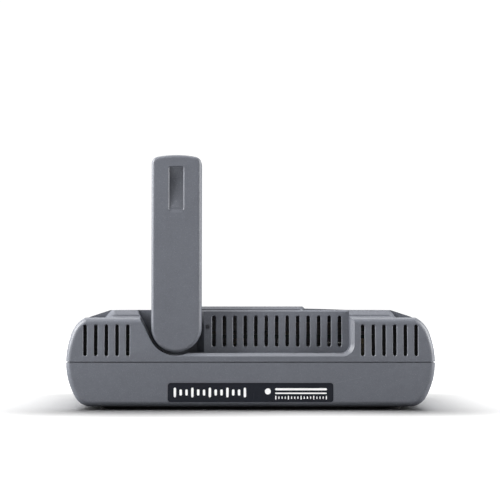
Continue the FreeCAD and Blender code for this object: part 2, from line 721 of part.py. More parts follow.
def light_holes(z0, z1):
    half_x, half_y = LIGHT_WIDTH / 2 + LIGHT_GAP, LIGHT_DEPTH / 2 + LIGHT_GAP
    return [slab_z(half_x, half_y, half_y - 0.02, z0, z1, x, y) for x, y in light_places()]


def upper_housing():
    """Top half of the case, with the recess, its vents and the screw bosses."""
    above_seam = box(-BODY_WIDTH, BODY_WIDTH, FRONT_Y - 1, BACK_Y + 1, SEAM_Z, TOP_Z + OVERRUN)
    shell = outer_form().common(above_seam)
    cavity = inner_form().cut(recess_block())
    shell = shell.cut([cavity, recess_cutter(), recess_rim_cutter(), recess_back_bevel()])
    rebate = band(WALL - LIP_THICK - LIP_CLEARANCE, SEAM_Z - 1, SEAM_Z + LIP_RISE + LIP_CLEARANCE)
    groove = band(-1, SEAM_Z, SEAM_Z + REVEAL).cut(band(REVEAL_DEPTH, SEAM_Z - 1, SEAM_Z + 1))
    shell = shell.cut([rebate.cut(recess_block()), groove])

    skin = WALL / 2
    inside = case_prism(skin, FRONT_Y + skin, BACK_Y - skin).common(brow_keep(skin))
    pillars = [rod_z(x, y, PILLAR_R, BOARD_TOP_Z, TOP_Z).common(inside).cut(recess_cutter())
               for x, y in SCREW_PLACES]
    shell = shell.fuse(pillars)

    tip_room = 0.5
    cuts = [rod_z(x, y, SCREW_R + SCREW_THREAD_GAP, BOARD_TOP_Z - 1, SCREW_TOP_Z + tip_room)
            for x, y in SCREW_PLACES]
    cuts.append(rod_y(PIVOT_X, PIVOT_Z, BUSH_R, WELL_Y - 1, HINGE_INNER_Y + 1))
    cuts.append(rod_y(PIVOT_X, PIVOT_Z, BUSH_FLANGE_R + HINGE_RELIEF, HINGE_INNER_Y, COAX_MEET_Y))
    dimple_x = PIVOT_X + DETENT_ARM
    cuts.append(rod_y(dimple_x, PIVOT_Z, DETENT_DIMPLE_R, RECESS_Y - 1, RECESS_Y + DETENT_DIMPLE_DEPTH))
    cuts.append(panel_pocket())
    cuts.append(rod_z(0, BUTTON_Y, BUTTON_STEM_R + BUTTON_GAP, CEILING_Z - 1, PANEL_TOP_Z))
    cuts += light_holes(CEILING_Z - 1, PANEL_TOP_Z)
    cuts += vent_cutters()
    cuts += rear_openings()
    return shell.cut(cuts)


def battery_ribs():
    """Low walls that hold the battery in place."""
    floor, top, thick = BOTTOM_Z + WALL, BOTTOM_Z + WALL + BATTERY_RIB_HEIGHT, BATTERY_RIB_THICK
    hx, hy = BATTERY_WIDTH / 2 + BATTERY_RIB_GAP, BATTERY_DEPTH / 2 + BATTERY_RIB_GAP
    long_rib, short_rib = hx * 0.6, hy * 0.6
    sunk = 0.5
    return [
        box(-long_rib, long_rib, -hy - thick, -hy, floor - sunk, top),
        box(-long_rib, long_rib, hy, hy + thick, floor - sunk, top),
        box(-hx - thick, -hx, -short_rib, short_rib, floor - sunk, top),
        box(hx, hx + thick, -short_rib, short_rib, floor - sunk, top),
    ]


def lower_housing():
    """Bottom half of the case, with the tongue, battery ribs, screw bosses and pockets for pad and label."""
    shell = outer_form().common(box(-BODY_WIDTH, BODY_WIDTH, FRONT_Y - 1, BACK_Y + 1, -1, SEAM_Z))
    shell = shell.cut(case_prism(WALL, FRONT_Y + WALL, BACK_Y - WALL))
    lip = band(WALL - LIP_THICK, SEAM_Z - 1, SEAM_Z + LIP_RISE)
    lip = lip.cut(band(WALL, SEAM_Z - 2, SEAM_Z + LIP_RISE + 1))
    lip = lip.cut([case_prism(WALL, FRONT_Y + WALL, BACK_Y - WALL), recess_block(LIP_CLEARANCE)])
    posts = [rod_z(x, y, BOSS_R, BOTTOM_Z + WALL / 2, BOARD_Z) for x, y in SCREW_PLACES]
    shell = shell.fuse([lip] + posts + battery_ribs())
    head_top = SCREW_RECESS + SCREW_HEAD_THICK
    cuts = [rod_z(x, y, SCREW_R + SCREW_CLEARANCE, -1, BOARD_Z + 1) for x, y in SCREW_PLACES]
    cuts += [rod_z(x, y, SCREW_HEAD_R + COUNTERBORE_GAP, -1, head_top) for x, y in SCREW_PLACES]
    cuts.append(slab_z(PAD_WIDTH / 2, PAD_DEPTH / 2, PAD_CORNER, -1, BOTTOM_Z + PAD_SUNK))
    cuts.append(slab_y(LABEL_WIDTH / 2 + LABEL_GAP, LABEL_HEIGHT / 2 + LABEL_GAP, LABEL_CORNER, FRONT_Y - 1,
                       FRONT_Y + LABEL_THICK + LABEL_SUNK, 0, LABEL_Z))
    return shell.cut(cuts)


def base_pad():
    """Non-slip rubber pad let into the underside, with holes over the screws and shallow grip grooves."""
    pad = slab_z(PAD_WIDTH / 2, PAD_DEPTH / 2, PAD_CORNER, 0, BOTTOM_Z + PAD_SUNK)
    foot = [e for e in pad.Edges if abs(e.BoundBox.ZMax) < 0.01]
    pad = pad.makeChamfer(PAD_EDGE, foot)
    holes = [rod_z(x, y, SCREW_HEAD_R + COUNTERBORE_GAP, -1, BOTTOM_Z + OVERRUN) for x, y in SCREW_PLACES]
    groove_half, groove_depth, count, pitch = 0.5, 0.4, 7, 6.0
    reach = SCREW_X - BOSS_R - 2.0
    grooves = []
    for i in range(count):
        y = (i - (count - 1) / 2) * pitch
        grooves.append(box(-reach, reach, y - groove_half, y + groove_half, -1, groove_depth))
    return pad.cut(holes + grooves)


def front_label():
    """Thin glossy label plate in its pocket on the front."""
    y0 = FRONT_Y + LABEL_SUNK
    return slab_y(LABEL_WIDTH / 2, LABEL_HEIGHT / 2, LABEL_CORNER, y0, y0 + LABEL_THICK, 0, LABEL_Z)


def housing_screws():
    """Four screws from below, through the board into the upper housing."""
    screws = []
    for x, y in SCREW_PLACES:
        z = SCREW_RECESS
        head = rod_z(x, y, SCREW_HEAD_R, z, z + SCREW_HEAD_THICK)
        rim = [e for e in head.Edges if abs(e.BoundBox.ZMax - z) < 0.01]
        head = head.makeFillet(0.5, rim)
        shank = rod_z(x, y, SCREW_R, z + SCREW_HEAD_THICK, z + SCREW_HEAD_THICK + SCREW_LENGTH)
        slot_half, slot_reach, slot_depth = 0.28, 1.4, 0.8
        cross = [box(x - slot_reach, x + slot_reach, y - slot_half, y + slot_half, z - 1, z + slot_depth),
                 box(x - slot_half, x + slot_half, y - slot_reach, y + slot_reach, z - 1, z + slot_depth)]
        screws.append(fuse([head, shank]).cut(cross))
    return group(screws)


# ================================================================ status panel and power button
def status_panel():
    """Raised plate on top, with windows for the status lights and a hole for the power button."""
    half_x, half_y = PANEL_WIDTH / 2, PANEL_DEPTH / 2
    mid_y = (PANEL_FRONT_Y + PANEL_BACK_Y) / 2
    bevel_z = PANEL_TOP_Z - PANEL_BEVEL
    body = slab_z(half_x, half_y, PANEL_CORNER, PANEL_FLOOR_Z, bevel_z, 0, mid_y)
    foot = rounded_wire(half_x, half_y, PANEL_CORNER, lambda u, v: V(u, mid_y + v, bevel_z))
    head = rounded_wire(half_x - PANEL_BEVEL, half_y - PANEL_BEVEL, PANEL_CORNER - PANEL_BEVEL,
                        lambda u, v: V(u, mid_y + v, PANEL_TOP_Z))
    plate = fuse([body, Part.makeLoft([foot, head], True, True)]).cut(hub_well(PANEL_GAP))
    skirt_top = PANEL_TOP_Z - PANEL_OVER_SKIRT
    cuts = light_holes(PANEL_FLOOR_Z - 1, PANEL_TOP_Z + 1)
    cuts.append(rod_z(0, BUTTON_Y, BUTTON_R + BUTTON_GAP, PANEL_FLOOR_Z - 1, PANEL_TOP_Z + 1))
    cuts.append(rod_z(0, BUTTON_Y, BUTTON_SKIRT_R + BUTTON_GAP, PANEL_FLOOR_Z - 1, skirt_top))
    dish_r, dish_depth = BUTTON_R + 1.6, 0.35
    dish = Part.makeCone(BUTTON_R + BUTTON_GAP, dish_r, dish_depth, V(0, BUTTON_Y, PANEL_TOP_Z - dish_depth))
    cuts.append(dish)
    return plate.cut(cuts)


def status_light_pipes():
    """Clear pipes that carry the status lights up to the panel."""
    half_x, half_y = LIGHT_WIDTH / 2, LIGHT_DEPTH / 2
    return group(slab_z(half_x, half_y, half_y - 0.02, LED_TOP_Z + LED_TO_PIPE, PANEL_TOP_Z, x, y)
                 for x, y in light_places())


def status_leds():
    """Surface-mounted lamps on the antenna board, one under each pipe."""
    return group(box(x - 0.8, x + 0.8, y - 0.4, y + 0.4, DECK_TOP_Z, LED_TOP_Z) for x, y in light_places())


def power_button():
    """Round key with a shallow dish, a skirt that keeps it under the panel and a stem down to the switch."""
    top = PANEL_TOP_Z - BUTTON_SUNK
    cap = rod_z(0, BUTTON_Y, BUTTON_R, SKIRT_Z, top)
    rim = [e for e in cap.Edges if abs(e.BoundBox.ZMin - top) < 0.01]
    cap = cap.makeFillet(0.4, rim)
    skirt = rod_z(0, BUTTON_Y, BUTTON_SKIRT_R, SKIRT_Z, SKIRT_Z + BUTTON_SKIRT_THICK)
    stem = rod_z(0, BUTTON_Y, BUTTON_STEM_R, SWITCH_STEM_TOP_Z, SKIRT_Z)
    sphere_r, dish = 22.0, 0.35
    bowl = Part.makeSphere(sphere_r, V(0, BUTTON_Y, top + sphere_r - dish))
    ring_r, ring_w, mark_depth = 1.9, 0.4, 0.8
    ring = rod_z(0, BUTTON_Y, ring_r, top - mark_depth, top + 1).cut(
        rod_z(0, BUTTON_Y, ring_r - ring_w, top - mark_depth - 1, top + 2))
    gap_half = 0.65
    ring = ring.cut(box(-gap_half, gap_half, BUTTON_Y, BUTTON_Y + ring_r + 1, top - mark_depth - 1, top + 2))
    bar = box(-ring_w / 2, ring_w / 2, BUTTON_Y + 0.3, BUTTON_Y + ring_r + 0.4, top - mark_depth, top + 1)
    return fuse([cap, skirt, stem]).cut([bowl, ring, bar])


def switch_base():
    """Square push switch on the antenna board."""
    z0, z1 = DECK_TOP_Z, DECK_TOP_Z + SWITCH_HEIGHT
    body = slab_z(SWITCH_HALF, SWITCH_HALF, 0.4, z0, z1, 0, BUTTON_Y)
    hole = rod_z(0, BUTTON_Y, SWITCH_STEM_R + RUNNING_CLEARANCE, z0 + SWITCH_FLOOR, z1 + 1)
    return body.cut(hole)


def switch_stem():
    """Plunger of the push switch; it moves with the key."""
    spare = 0.3
    foot = DECK_TOP_Z + SWITCH_FLOOR + BUTTON_TRAVEL + spare
    return rod_z(0, BUTTON_Y, SWITCH_STEM_R, foot, SWITCH_STEM_TOP_Z)


# ================================================================ aerial blade
def blade_wire(inset, y):
    """Front view of the blade, upright, pulled in by inset."""
    half = BLADE_HALF_WIDTH - inset
    tip = PIVOT_Z + BLADE_REACH - inset
    corner = max(BLADE_TIP_CORNER - inset, 0.3)
    radius = BLADE_TIP_RADIUS
    reach = radius - corner
    across = half - corner
    rise = math.sqrt(reach * reach - across * across)
    crown_z = tip - radius
    cz = crown_z + rise
    lean = math.atan2(across, rise)
    meet = (across + corner * math.sin(lean), cz + corner * math.cos(lean))
    turn = (math.pi / 2 + lean) / 2
    corner_mid = (across + corner * math.sin(turn), cz + corner * math.cos(turn))
    points = [
        (-half, PIVOT_Z),
        ((0, PIVOT_Z - half), (half, PIVOT_Z)),
        (half, cz),
        (corner_mid, meet),
        ((0, tip), (-meet[0], meet[1])),
        ((-corner_mid[0], corner_mid[1]), (-half, cz)),
    ]
    wire = wire_through(points)
    return wire.translated(V(PIVOT_X, y, 0))


def blade_prism(inset, y0, y1):
    return Part.Face(blade_wire(inset, y0)).extrude(V(0, y1 - y0, 0))


def blade_form():
    form = blade_prism(0, FRONT_Y, BLADE_BACK_Y)
    front = [e for e in form.Edges if abs(e.BoundBox.YMax - FRONT_Y) < 0.01]
    form = form.makeFillet(BLADE_FRONT_ROUND, front)
    back = [e for e in form.Edges if abs(e.BoundBox.YMin - BLADE_BACK_Y) < 0.01]
    return form.makeFillet(BLADE_BACK_ROUND, back)


def thumb_groove():
    """Scoop with a steep upper end and a long ramp that runs out towards the hinge."""
    top = PIVOT_Z + GROOVE_TOP_ARM
    deep = top - GROOVE_DEEP_AT
    end = top - GROOVE_LENGTH
    y = FRONT_Y
    out = 1.0
    slope = GROOVE_DEPTH / (deep - end)
    edges = [
        Part.LineSegment(V(0, y - out, end - out / slope), V(0, y - out, top)).toShape(),
        Part.LineSegment(V(0, y - out, top), V(0, y + 0.5, top)).toShape(),
        Part.Arc(V(0, y + 0.5, top), V(0, y + GROOVE_DEPTH * 0.86, top - GROOVE_DEEP_AT * 0.42),
                 V(0, y + GROOVE_DEPTH, deep)).toShape(),
        Part.Arc(V(0, y + GROOVE_DEPTH, deep), V(0, y + GROOVE_DEPTH * 0.62, (deep + end) / 2),
                 V(0, y, end)).toShape(),
        Part.LineSegment(V(0, y, end), V(0, y - out, end - out / slope)).toShape(),
    ]
    face = Part.Face(Part.Wire(edges))
    half = GROOVE_WIDTH / 2 - GROOVE_EDGE
    scoop = face.extrude(V(2 * half, 0, 0)).translated(V(PIVOT_X - half, 0, 0))
    mouth_top, mouth_end = top + GROOVE_EDGE / 2, end + 1.0
    mid, half_z = (mouth_top + mouth_end) / 2, (mouth_top - mouth_end) / 2
    mouth = taper_y(half, half_z, 0.4, FRONT_Y, FRONT_Y + GROOVE_EDGE, GROOVE_EDGE, PIVOT_X, mid)
    return [scoop, mouth]


def blade_cavity():
    """Space inside the blade. It stays clear of the thumb groove."""
    y0, y1 = FRONT_Y + BLADE_WALL, BLADE_BACK_Y - BLADE_WALL
    space = blade_prism(BLADE_WALL, y0, y1)
    top = PIVOT_Z + GROOVE_TOP_ARM
    guard = box(PIVOT_X - GROOVE_WIDTH / 2 - GROOVE_SKIN, PIVOT_X + GROOVE_WIDTH / 2 + GROOVE_SKIN,
                FRONT_Y, FRONT_Y + GROOVE_DEPTH + GROOVE_SKIN, top - GROOVE_LENGTH, top + GROOVE_SKIN)
    return space.cut(guard)


def blade_slice(y0, y1):
    """Block round the blade between two depths."""
    reach = 2 * BLADE_HALF_WIDTH
    return box(PIVOT_X - reach, PIVOT_X + reach, y0, y1, PIVOT_Z - reach, PIVOT_Z + BLADE_REACH + reach)


def blade_posts(y0, y1):
    return [rod_y(PIVOT_X, PIVOT_Z + arm, BLADE_POST_R, y0, y1) for arm in BLADE_SCREW_ARMS]


def blade_front_cover():
    """Outer half of the aerial blade, with the thumb groove."""
    form = blade_form().cut(blade_cavity())
    posts = [p.common(blade_form()) for p in blade_posts(FRONT_Y + BLADE_WALL / 2, BLADE_SPLIT_Y)]
    cover = fuse([form] + posts).common(blade_slice(FRONT_Y - 1, BLADE_SPLIT_Y))
    groove = blade_prism(-1, BLADE_SPLIT_Y - BLADE_REVEAL, BLADE_SPLIT_Y + 1).cut(
        blade_prism(0.35, BLADE_SPLIT_Y - 1, BLADE_SPLIT_Y + 2))
    pilot_r, pilot_y = BLADE_SCREW_R + SCREW_THREAD_GAP, BLADE_SPLIT_Y - BLADE_SCREW_BITE
    pilots = [rod_y(PIVOT_X, PIVOT_Z + arm, pilot_r, pilot_y, BLADE_SPLIT_Y + 1) for arm in BLADE_SCREW_ARMS]
    return cover.cut(thumb_groove() + [groove] + pilots)


def blade_rear_cover():
    """Inner half of the blade, which the hinge shaft and the blade's screws go through."""
    form = blade_form().cut(blade_cavity())
    posts = [p.common(blade_form()) for p in blade_posts(BLADE_SPLIT_Y, BLADE_BACK_Y - BLADE_WALL / 2)]
    cover = fuse([form] + posts).common(blade_slice(BLADE_SPLIT_Y, BLADE_BACK_Y + 1))
    boss = rod_y(PIVOT_X, PIVOT_Z, HUB_BOSS_R, BLADE_BACK_Y - BLADE_WALL / 2, BLADE_BACK_Y + HUB_WELL_DEPTH)
    nub_z = PIVOT_Z + DETENT_ARM
    nub = rod_y(PIVOT_X, nub_z, DETENT_NUB_R, BLADE_BACK_Y - 0.5, BLADE_BACK_Y + DETENT_NUB_PROUD)
    tip = [e for e in nub.Edges if abs(e.BoundBox.YMin - (BLADE_BACK_Y + DETENT_NUB_PROUD)) < 0.01]
    nub = nub.makeFillet(DETENT_NUB_PROUD * 0.8, tip)
    cover = fuse([cover, nub, boss])
    cuts = [rod_y(PIVOT_X, PIVOT_Z, SHAFT_R, BLADE_SPLIT_Y - 1, WELL_Y + 1)]
    for arm in BLADE_SCREW_ARMS:
        z = PIVOT_Z + arm
        cuts.append(rod_y(PIVOT_X, z, BLADE_SCREW_R + SCREW_CLEARANCE, BLADE_SPLIT_Y - 1, BLADE_BACK_Y + 1))
        cuts.append(rod_y(PIVOT_X, z, BLADE_SCREW_HEAD_R + SCREW_CLEARANCE,
                          BLADE_SCREW_HEAD_Y - BLADE_SCREW_HEAD_THICK, BLADE_BACK_Y + 1))
    return cover.cut(cuts)


def blade_screws():
    screws = []
    for arm in BLADE_SCREW_ARMS:
        z, head_y = PIVOT_Z + arm, BLADE_SCREW_HEAD_Y
        neck_y, tip_y = head_y - BLADE_SCREW_HEAD_THICK, BLADE_SPLIT_Y - BLADE_SCREW_BITE + 0.2
        head = rod_y(PIVOT_X, z, BLADE_SCREW_HEAD_R, neck_y, head_y)
        shank = rod_y(PIVOT_X, z, BLADE_SCREW_R, tip_y, neck_y)
        half, reach = 0.2, 0.9
        slots = [box(PIVOT_X - reach, PIVOT_X + reach, head_y - 0.5, head_y + 1, z - half, z + half),
                 box(PIVOT_X - half, PIVOT_X + half, head_y - 0.5, head_y + 1, z - reach, z + reach)]
        screws.append(fuse([head, shank]).cut(slots))
    return group(screws)


def blade_board_span():
    """Half width, foot and head of the circuit strip in the blade."""
    half = BLADE_HALF_WIDTH - BLADE_WALL - BLADE_BOARD_SIDE_GAP
    return half, PIVOT_Z + BLADE_BOARD_FOOT, PIVOT_Z + BLADE_REACH - BLADE_WALL - BLADE_BOARD_HEAD


def blade_board():
    """Circuit strip that carries the aerial's radiator, pierced for the posts."""
    half, z0, z1 = blade_board_span()
    y1 = BLADE_BOARD_BACK_Y - COPPER_THICK
    strip = slab_y(half, (z1 - z0) / 2, 0.8, y1 - BLADE_BOARD_THICK, y1, PIVOT_X, (z0 + z1) / 2)
    return strip.cut(blade_posts(y1 - 2, y1 + 1))


def blade_radiator():
    """Copper element on the strip: two limbs with a bridge at the top."""
    half, z0, z1 = blade_board_span()
    y1 = BLADE_BOARD_BACK_Y
    y0 = y1 - COPPER_THICK
    margin, limb = 0.6, COPPER_WIDTH
    half, z0, z1 = half - margin, z0 + margin, z1 - margin
    parts = [
        box(PIVOT_X - half, PIVOT_X - half + limb, y0, y1, z0, z1),
        box(PIVOT_X + half - limb, PIVOT_X + half, y0, y1, z0 + 8.0, z1),
        box(PIVOT_X - half, PIVOT_X + half, y0, y1, z1 - limb, z1),
        box(PIVOT_X - half, PIVOT_X + 1.5, y0, y1, z0, z0 + limb),
    ]
    return fuse(parts)


# ================================================================ hinge
def hinge_shaft():
    """Hollow pivot, flanged inside the blade and grooved for its clip."""
    flange = rod_y(PIVOT_X, PIVOT_Z, SHAFT_FLANGE_R, SHAFT_HEAD_Y, SHAFT_HEAD_Y + SHAFT_FLANGE_THICK)
    flat = SHAFT_FLANGE_R - 0.8
    flats = box(PIVOT_X - flat, PIVOT_X + flat, SHAFT_HEAD_Y - 1, SHAFT_END_Y, 0, TOP_Z + OVERRUN * 2)
    flange = flange.common(flats)
    tube = rod_y(PIVOT_X, PIVOT_Z, SHAFT_R, SHAFT_HEAD_Y, SHAFT_END_Y)
    end = [e for e in tube.Edges if abs(e.BoundBox.YMin - SHAFT_END_Y) < 0.01]
    tube = tube.makeChamfer(0.3, end)
    bore = rod_y(PIVOT_X, PIVOT_Z, SHAFT_BORE_R, SHAFT_HEAD_Y - 1, SHAFT_END_Y + 1)
    groove = ring_y(PIVOT_X, PIVOT_Z, SHAFT_R + 1, CLIP_GROOVE_R, CLIP_Y, CLIP_Y + CLIP_THICK)
    return fuse([flange, tube]).cut([bore, groove])


def hinge_bush():
    """Flanged plain bearing pressed into the recess wall."""
    tube = rod_y(PIVOT_X, PIVOT_Z, BUSH_R, WELL_Y, BUSH_END_Y)
    flange = rod_y(PIVOT_X, PIVOT_Z, BUSH_FLANGE_R, HINGE_INNER_Y, BUSH_END_Y)
    bore = rod_y(PIVOT_X, PIVOT_Z, SHAFT_R + RUNNING_CLEARANCE, WELL_Y - 1, BUSH_END_Y + 1)
    return fuse([tube, flange]).cut(bore)


def hinge_thrust_washer():
    """Slippery washer between the blade and the recess wall."""
    boss_end = BLADE_BACK_Y + HUB_WELL_DEPTH
    bore_r = SHAFT_R + RUNNING_CLEARANCE
    return ring_y(PIVOT_X, PIVOT_Z, THRUST_WASHER_R, bore_r, boss_end + THRUST_GAP, WELL_Y)


def hinge_spring_washer():
    """Coned spring washer that loads the hinge so that the blade stays where it is put."""
    y0 = BUSH_END_Y
    r0, r1 = SHAFT_R + 2 * RUNNING_CLEARANCE, BUSH_FLANGE_R - 0.1
    points = [V(r1, y0, 0), V(r1, y0 + SPRING_WASHER_THICK, 0),
              V(r0, y0 + SPRING_WASHER_THICK + SPRING_WASHER_CONE, 0), V(r0, y0 + SPRING_WASHER_CONE, 0)]
    face = Part.Face(Part.makePolygon(points + points[:1]))
    return face.revolve(V(0, 0, 0), Y_AXIS, 360).translated(V(PIVOT_X, 0, PIVOT_Z))


def hinge_retaining_clip():
    """Open clip snapped into the shaft's groove."""
    ring = ring_y(PIVOT_X, PIVOT_Z, CLIP_R, CLIP_GROOVE_R, CLIP_Y, CLIP_Y + CLIP_THICK)
    half = 1.2
    mouth = box(PIVOT_X - half, PIVOT_X + half, CLIP_Y - 1, CLIP_Y + 2, PIVOT_Z - 2 * CLIP_R, PIVOT_Z)
    return ring.cut(mouth)


# ================================================================ coax from the blade to the main board
def tube_along(points, bend, r):
    """Round tube along straight runs joined by tangent arcs."""
    edges = []
    here = points[0]
    for a, b, c in zip(points, points[1:], points[2:]):
        u, w = (b - a).normalize(), (c - b).normalize()
        turn = u.getAngle(w)
        back = bend * math.tan(turn / 2)
        start, end = b - u * back, b + w * back
        centre_dir = (w - u).normalize()
        centre = b + centre_dir * (bend / math.cos(turn / 2))
        middle = centre - centre_dir * bend
        edges.append(Part.LineSegment(here, start).toShape())
        edges.append(Part.Arc(start, middle, end).toShape())
        here = end
    edges.append(Part.LineSegment(here, points[-1]).toShape())
    path = Part.Wire(edges)
    length = path.Length
    section = Part.Wire(Part.makeCircle(r, points[0], points[1] - points[0]))
    tube = path.makePipeShell([section], True, False)
    ratio = tube.Volume / (length * math.pi * r * r)
    print(f"tube: length {length:.2f}, bend radius {bend}, volume ratio {ratio:.4f}")
    return tube


def blade_coax():
    """Lead from the radiator down the blade and out through the hollow shaft."""
    y = BLADE_SPLIT_Y + BLADE_COAX_BEHIND
    foot = V(PIVOT_X, y, PIVOT_Z + BLADE_SCREW_ARMS[0] - BLADE_POST_R)
    corner = V(PIVOT_X, y, PIVOT_Z)
    return tube_along([foot, corner, V(PIVOT_X, COAX_MEET_Y, PIVOT_Z)], BLADE_COAX_BEND, COAX_R)


def hinge_coax():
    """Lead from the hinge down to its plug on the main board. It turns about its own axis at the hinge."""
    return tube_along([
        V(PIVOT_X, COAX_MEET_Y, PIVOT_Z),
        V(PIVOT_X, COAX_PLUG_Y, PIVOT_Z),
        V(PIVOT_X, COAX_PLUG_Y, BOARD_TOP_Z + COAX_PLUG_HEIGHT),
    ], COAX_BEND, COAX_R)


def coax_plug():
    """Small press-on plug at the end of the lead."""
    return rod_z(PIVOT_X, COAX_PLUG_Y, COAX_PLUG_R, BOARD_TOP_Z, BOARD_TOP_Z + COAX_PLUG_HEIGHT)


# ================================================================ boards, shields, battery
def board_slab(width, y0, y1, z, thick):
    return slab_z(width / 2, (y1 - y0) / 2, BOARD_CORNER, z, z + thick, 0, (y0 + y1) / 2)


def main_board():
    """Main circuit board, clamped between the bosses by the housing screws, with ears beside the recess."""
    board = board_slab(BOARD_WIDTH, FRONT_Y + BOARD_EAR_FRONT, BACK_Y - BOARD_BACK, BOARD_Z, BOARD_THICK)
    middle = BOARD_WIDTH / 2 - BOARD_EAR_WIDTH
    notch = box(-middle, middle, FRONT_Y, FRONT_Y + BOARD_FRONT, BOARD_Z - 1, BOARD_TOP_Z + 1)
    holes = [rod_z(x, y, SCREW_R + SCREW_CLEARANCE, BOARD_Z - 1, BOARD_TOP_Z + 1) for x, y in SCREW_PLACES]
    return board.cut([notch] + holes)


def deck_y():
    return FRONT_Y + DECK_FRONT, BACK_Y - DECK_BACK


def deck_posts():
    y0, y1 = deck_y()
    x = DECK_WIDTH / 2 - DECK_POST_INSET
    return [(sx * x, y) for sx in (-1, 1) for y in (y0 + DECK_POST_INSET, y1 - DECK_POST_INSET)]


def antenna_board():
    """Upper circuit board that holds the sky-facing patch antennas, the lamps and the push switch."""
    y0, y1 = deck_y()
    board = board_slab(DECK_WIDTH, y0, y1, DECK_Z, DECK_THICK)
    notch = box(PIVOT_X - DECK_NOTCH_HALF, PIVOT_X + DECK_NOTCH_HALF, y0 - 1, COAX_PLUG_Y + COAX_PLUG_R,
                DECK_Z - 1, DECK_TOP_Z + 1)
    holes = [rod_z(x, y, DECK_SCREW_R + SCREW_CLEARANCE, DECK_Z - 1, DECK_TOP_Z + 1) for x, y in deck_posts()]
    return board.cut([notch] + holes)


def board_standoffs():
    """Hexagonal brass pillars between the two boards."""
    pillars = []
    for x, y in deck_posts():
        turns = [math.radians(60 * i) for i in range(7)]
        ring = [V(x + STANDOFF_R * math.cos(t), y + STANDOFF_R * math.sin(t), BOARD_TOP_Z) for t in turns]
        pillar = Part.Face(Part.makePolygon(ring)).extrude(V(0, 0, DECK_Z - BOARD_TOP_Z))
        pillars.append(pillar.cut(rod_z(x, y, DECK_SCREW_R + SCREW_THREAD_GAP, DECK_Z - 4, DECK_Z + 1)))
    return group(pillars)


def board_screws():
    """Small screws that fix the antenna board to its pillars."""
    screws = []
    for x, y in deck_posts():
        head = rod_z(x, y, 1.8, DECK_TOP_Z, DECK_TOP_Z + 1.1)
        shank = rod_z(x, y, DECK_SCREW_R, DECK_Z - 3.4, DECK_TOP_Z)
        slot = box(x - 1.2, x + 1.2, y - 0.25, y + 0.25, DECK_TOP_Z + 0.6, DECK_TOP_Z + 2)
        screws.append(fuse([head, shank]).cut(slot))
    return group(screws)


def patch_places():
    """Centres of the two patches: position on the right, satellite radio on the left."""
    y0, y1 = deck_y()
    x = (PATCH_GAP + PATCH_SIZE) / 2
    y = max((y0 + y1) / 2, COAX_PLUG_Y + COAX_PLUG_R + PATCH_SIZE / 2)
    return (x, y), (-x, y)


def ceramic_patch(thick, place):
    x, y = place
    return slab_z(PATCH_SIZE / 2, PATCH_SIZE / 2, 0.5, DECK_TOP_Z, DECK_TOP_Z + thick, x, y)


def patch_face(thick, place):
    x, y = place
    half, z = PATCH_SIZE / 2 - PATCH_MARGIN, DECK_TOP_Z + thick
    return slab_z(half, half, 0.5, z, z + PATCH_FACE_THICK, x, y)


def position_patch():
    return ceramic_patch(POSITION_PATCH_THICK, patch_places()[0])


def satellite_patch():
    return ceramic_patch(SATELLITE_PATCH_THICK, patch_places()[1])


def patch_electrodes():
    """Silvered top faces of the two ceramic patches."""
    position, satellite = patch_places()
    return group([patch_face(POSITION_PATCH_THICK, position), patch_face(SATELLITE_PATCH_THICK, satellite)])


def shield_cans():
    """Row of folded tin lids over the radio sections of the main board, pierced with vent holes."""
    cans = []
    x0 = CAN_SIDE_ROOM - BOARD_WIDTH / 2
    width = (-2 * x0 - CAN_GAP * (CAN_COUNT - 1)) / CAN_COUNT
    z0, z1 = BOARD_TOP_Z, BOARD_TOP_Z + CAN_HEIGHT
    corner, hole_r, pitch = 0.8, 0.6, 4.0
    for i in range(CAN_COUNT):
        x = x0 + width / 2 + i * (width + CAN_GAP)
        can = slab_z(width / 2, CAN_DEPTH / 2, corner, z0, z1, x, CAN_Y)
        half_x, half_y = width / 2 - CAN_SKIN, CAN_DEPTH / 2 - CAN_SKIN
        hollow = slab_z(half_x, half_y, corner - CAN_SKIN, z0 - 1, z1 - CAN_SKIN, x, CAN_Y)
        holes = [rod_z(x + u * pitch, CAN_Y + v * pitch, hole_r, z1 - 1, z1 + 1)
                 for u in (-1, 0, 1) for v in (-1, 0, 1)]
        cans.append(can.cut([hollow] + holes))
    return group(cans)


def board_chips():
    """Processor, memory and charger packages beside the shield cans."""
    chips = []
    height = 1.1
    side = BOARD_WIDTH / 2 - CAN_SIDE_ROOM / 2
    for x, y, width in ((side, 6.0, 10.0), (side, -8.0, 7.0), (-side, -6.0, 8.0)):
        half = width / 2
        chips.append(box(x - half, x + half, y - half, y + half, BOARD_TOP_Z, BOARD_TOP_Z + height))
    return group(chips)


def battery_pack():
    """Flat rechargeable pack in the lower housing."""
    z0 = BOTTOM_Z + WALL + BATTERY_FOAM
    pack = slab_z(BATTERY_WIDTH / 2, BATTERY_DEPTH / 2, 2.0, z0, z0 + BATTERY_THICK)
    ends = [e for e in pack.Edges if e.BoundBox.ZLength < 0.01]
    return pack.makeFillet(0.6, ends)


def battery_foam():
    z0 = BOTTOM_Z + WALL
    return slab_z(BATTERY_WIDTH / 2 - 6, BATTERY_DEPTH / 2 - 6, 1.0, z0, z0 + BATTERY_FOAM)


def battery_plug():
    """Plug of the battery lead, under the main board."""
    half_x, half_y = BATTERY_PLUG_HALF, 3.5
    z0 = BOARD_Z - BATTERY_PLUG_HEIGHT
    return box(BATTERY_PLUG_X - half_x, BATTERY_PLUG_X + half_x, -half_y, half_y, z0, BOARD_Z)


def battery_lead():
    """Two short wires from the pack to its plug."""
    x0, x1 = BATTERY_WIDTH / 2, BATTERY_PLUG_X - BATTERY_PLUG_HALF
    z = BOARD_Z - BATTERY_WIRE_DROP
    return group(Part.makeCylinder(BATTERY_WIRE_R, x1 - x0, V(x0, y, z), X_AXIS) for y in (-1.0, 1.0))


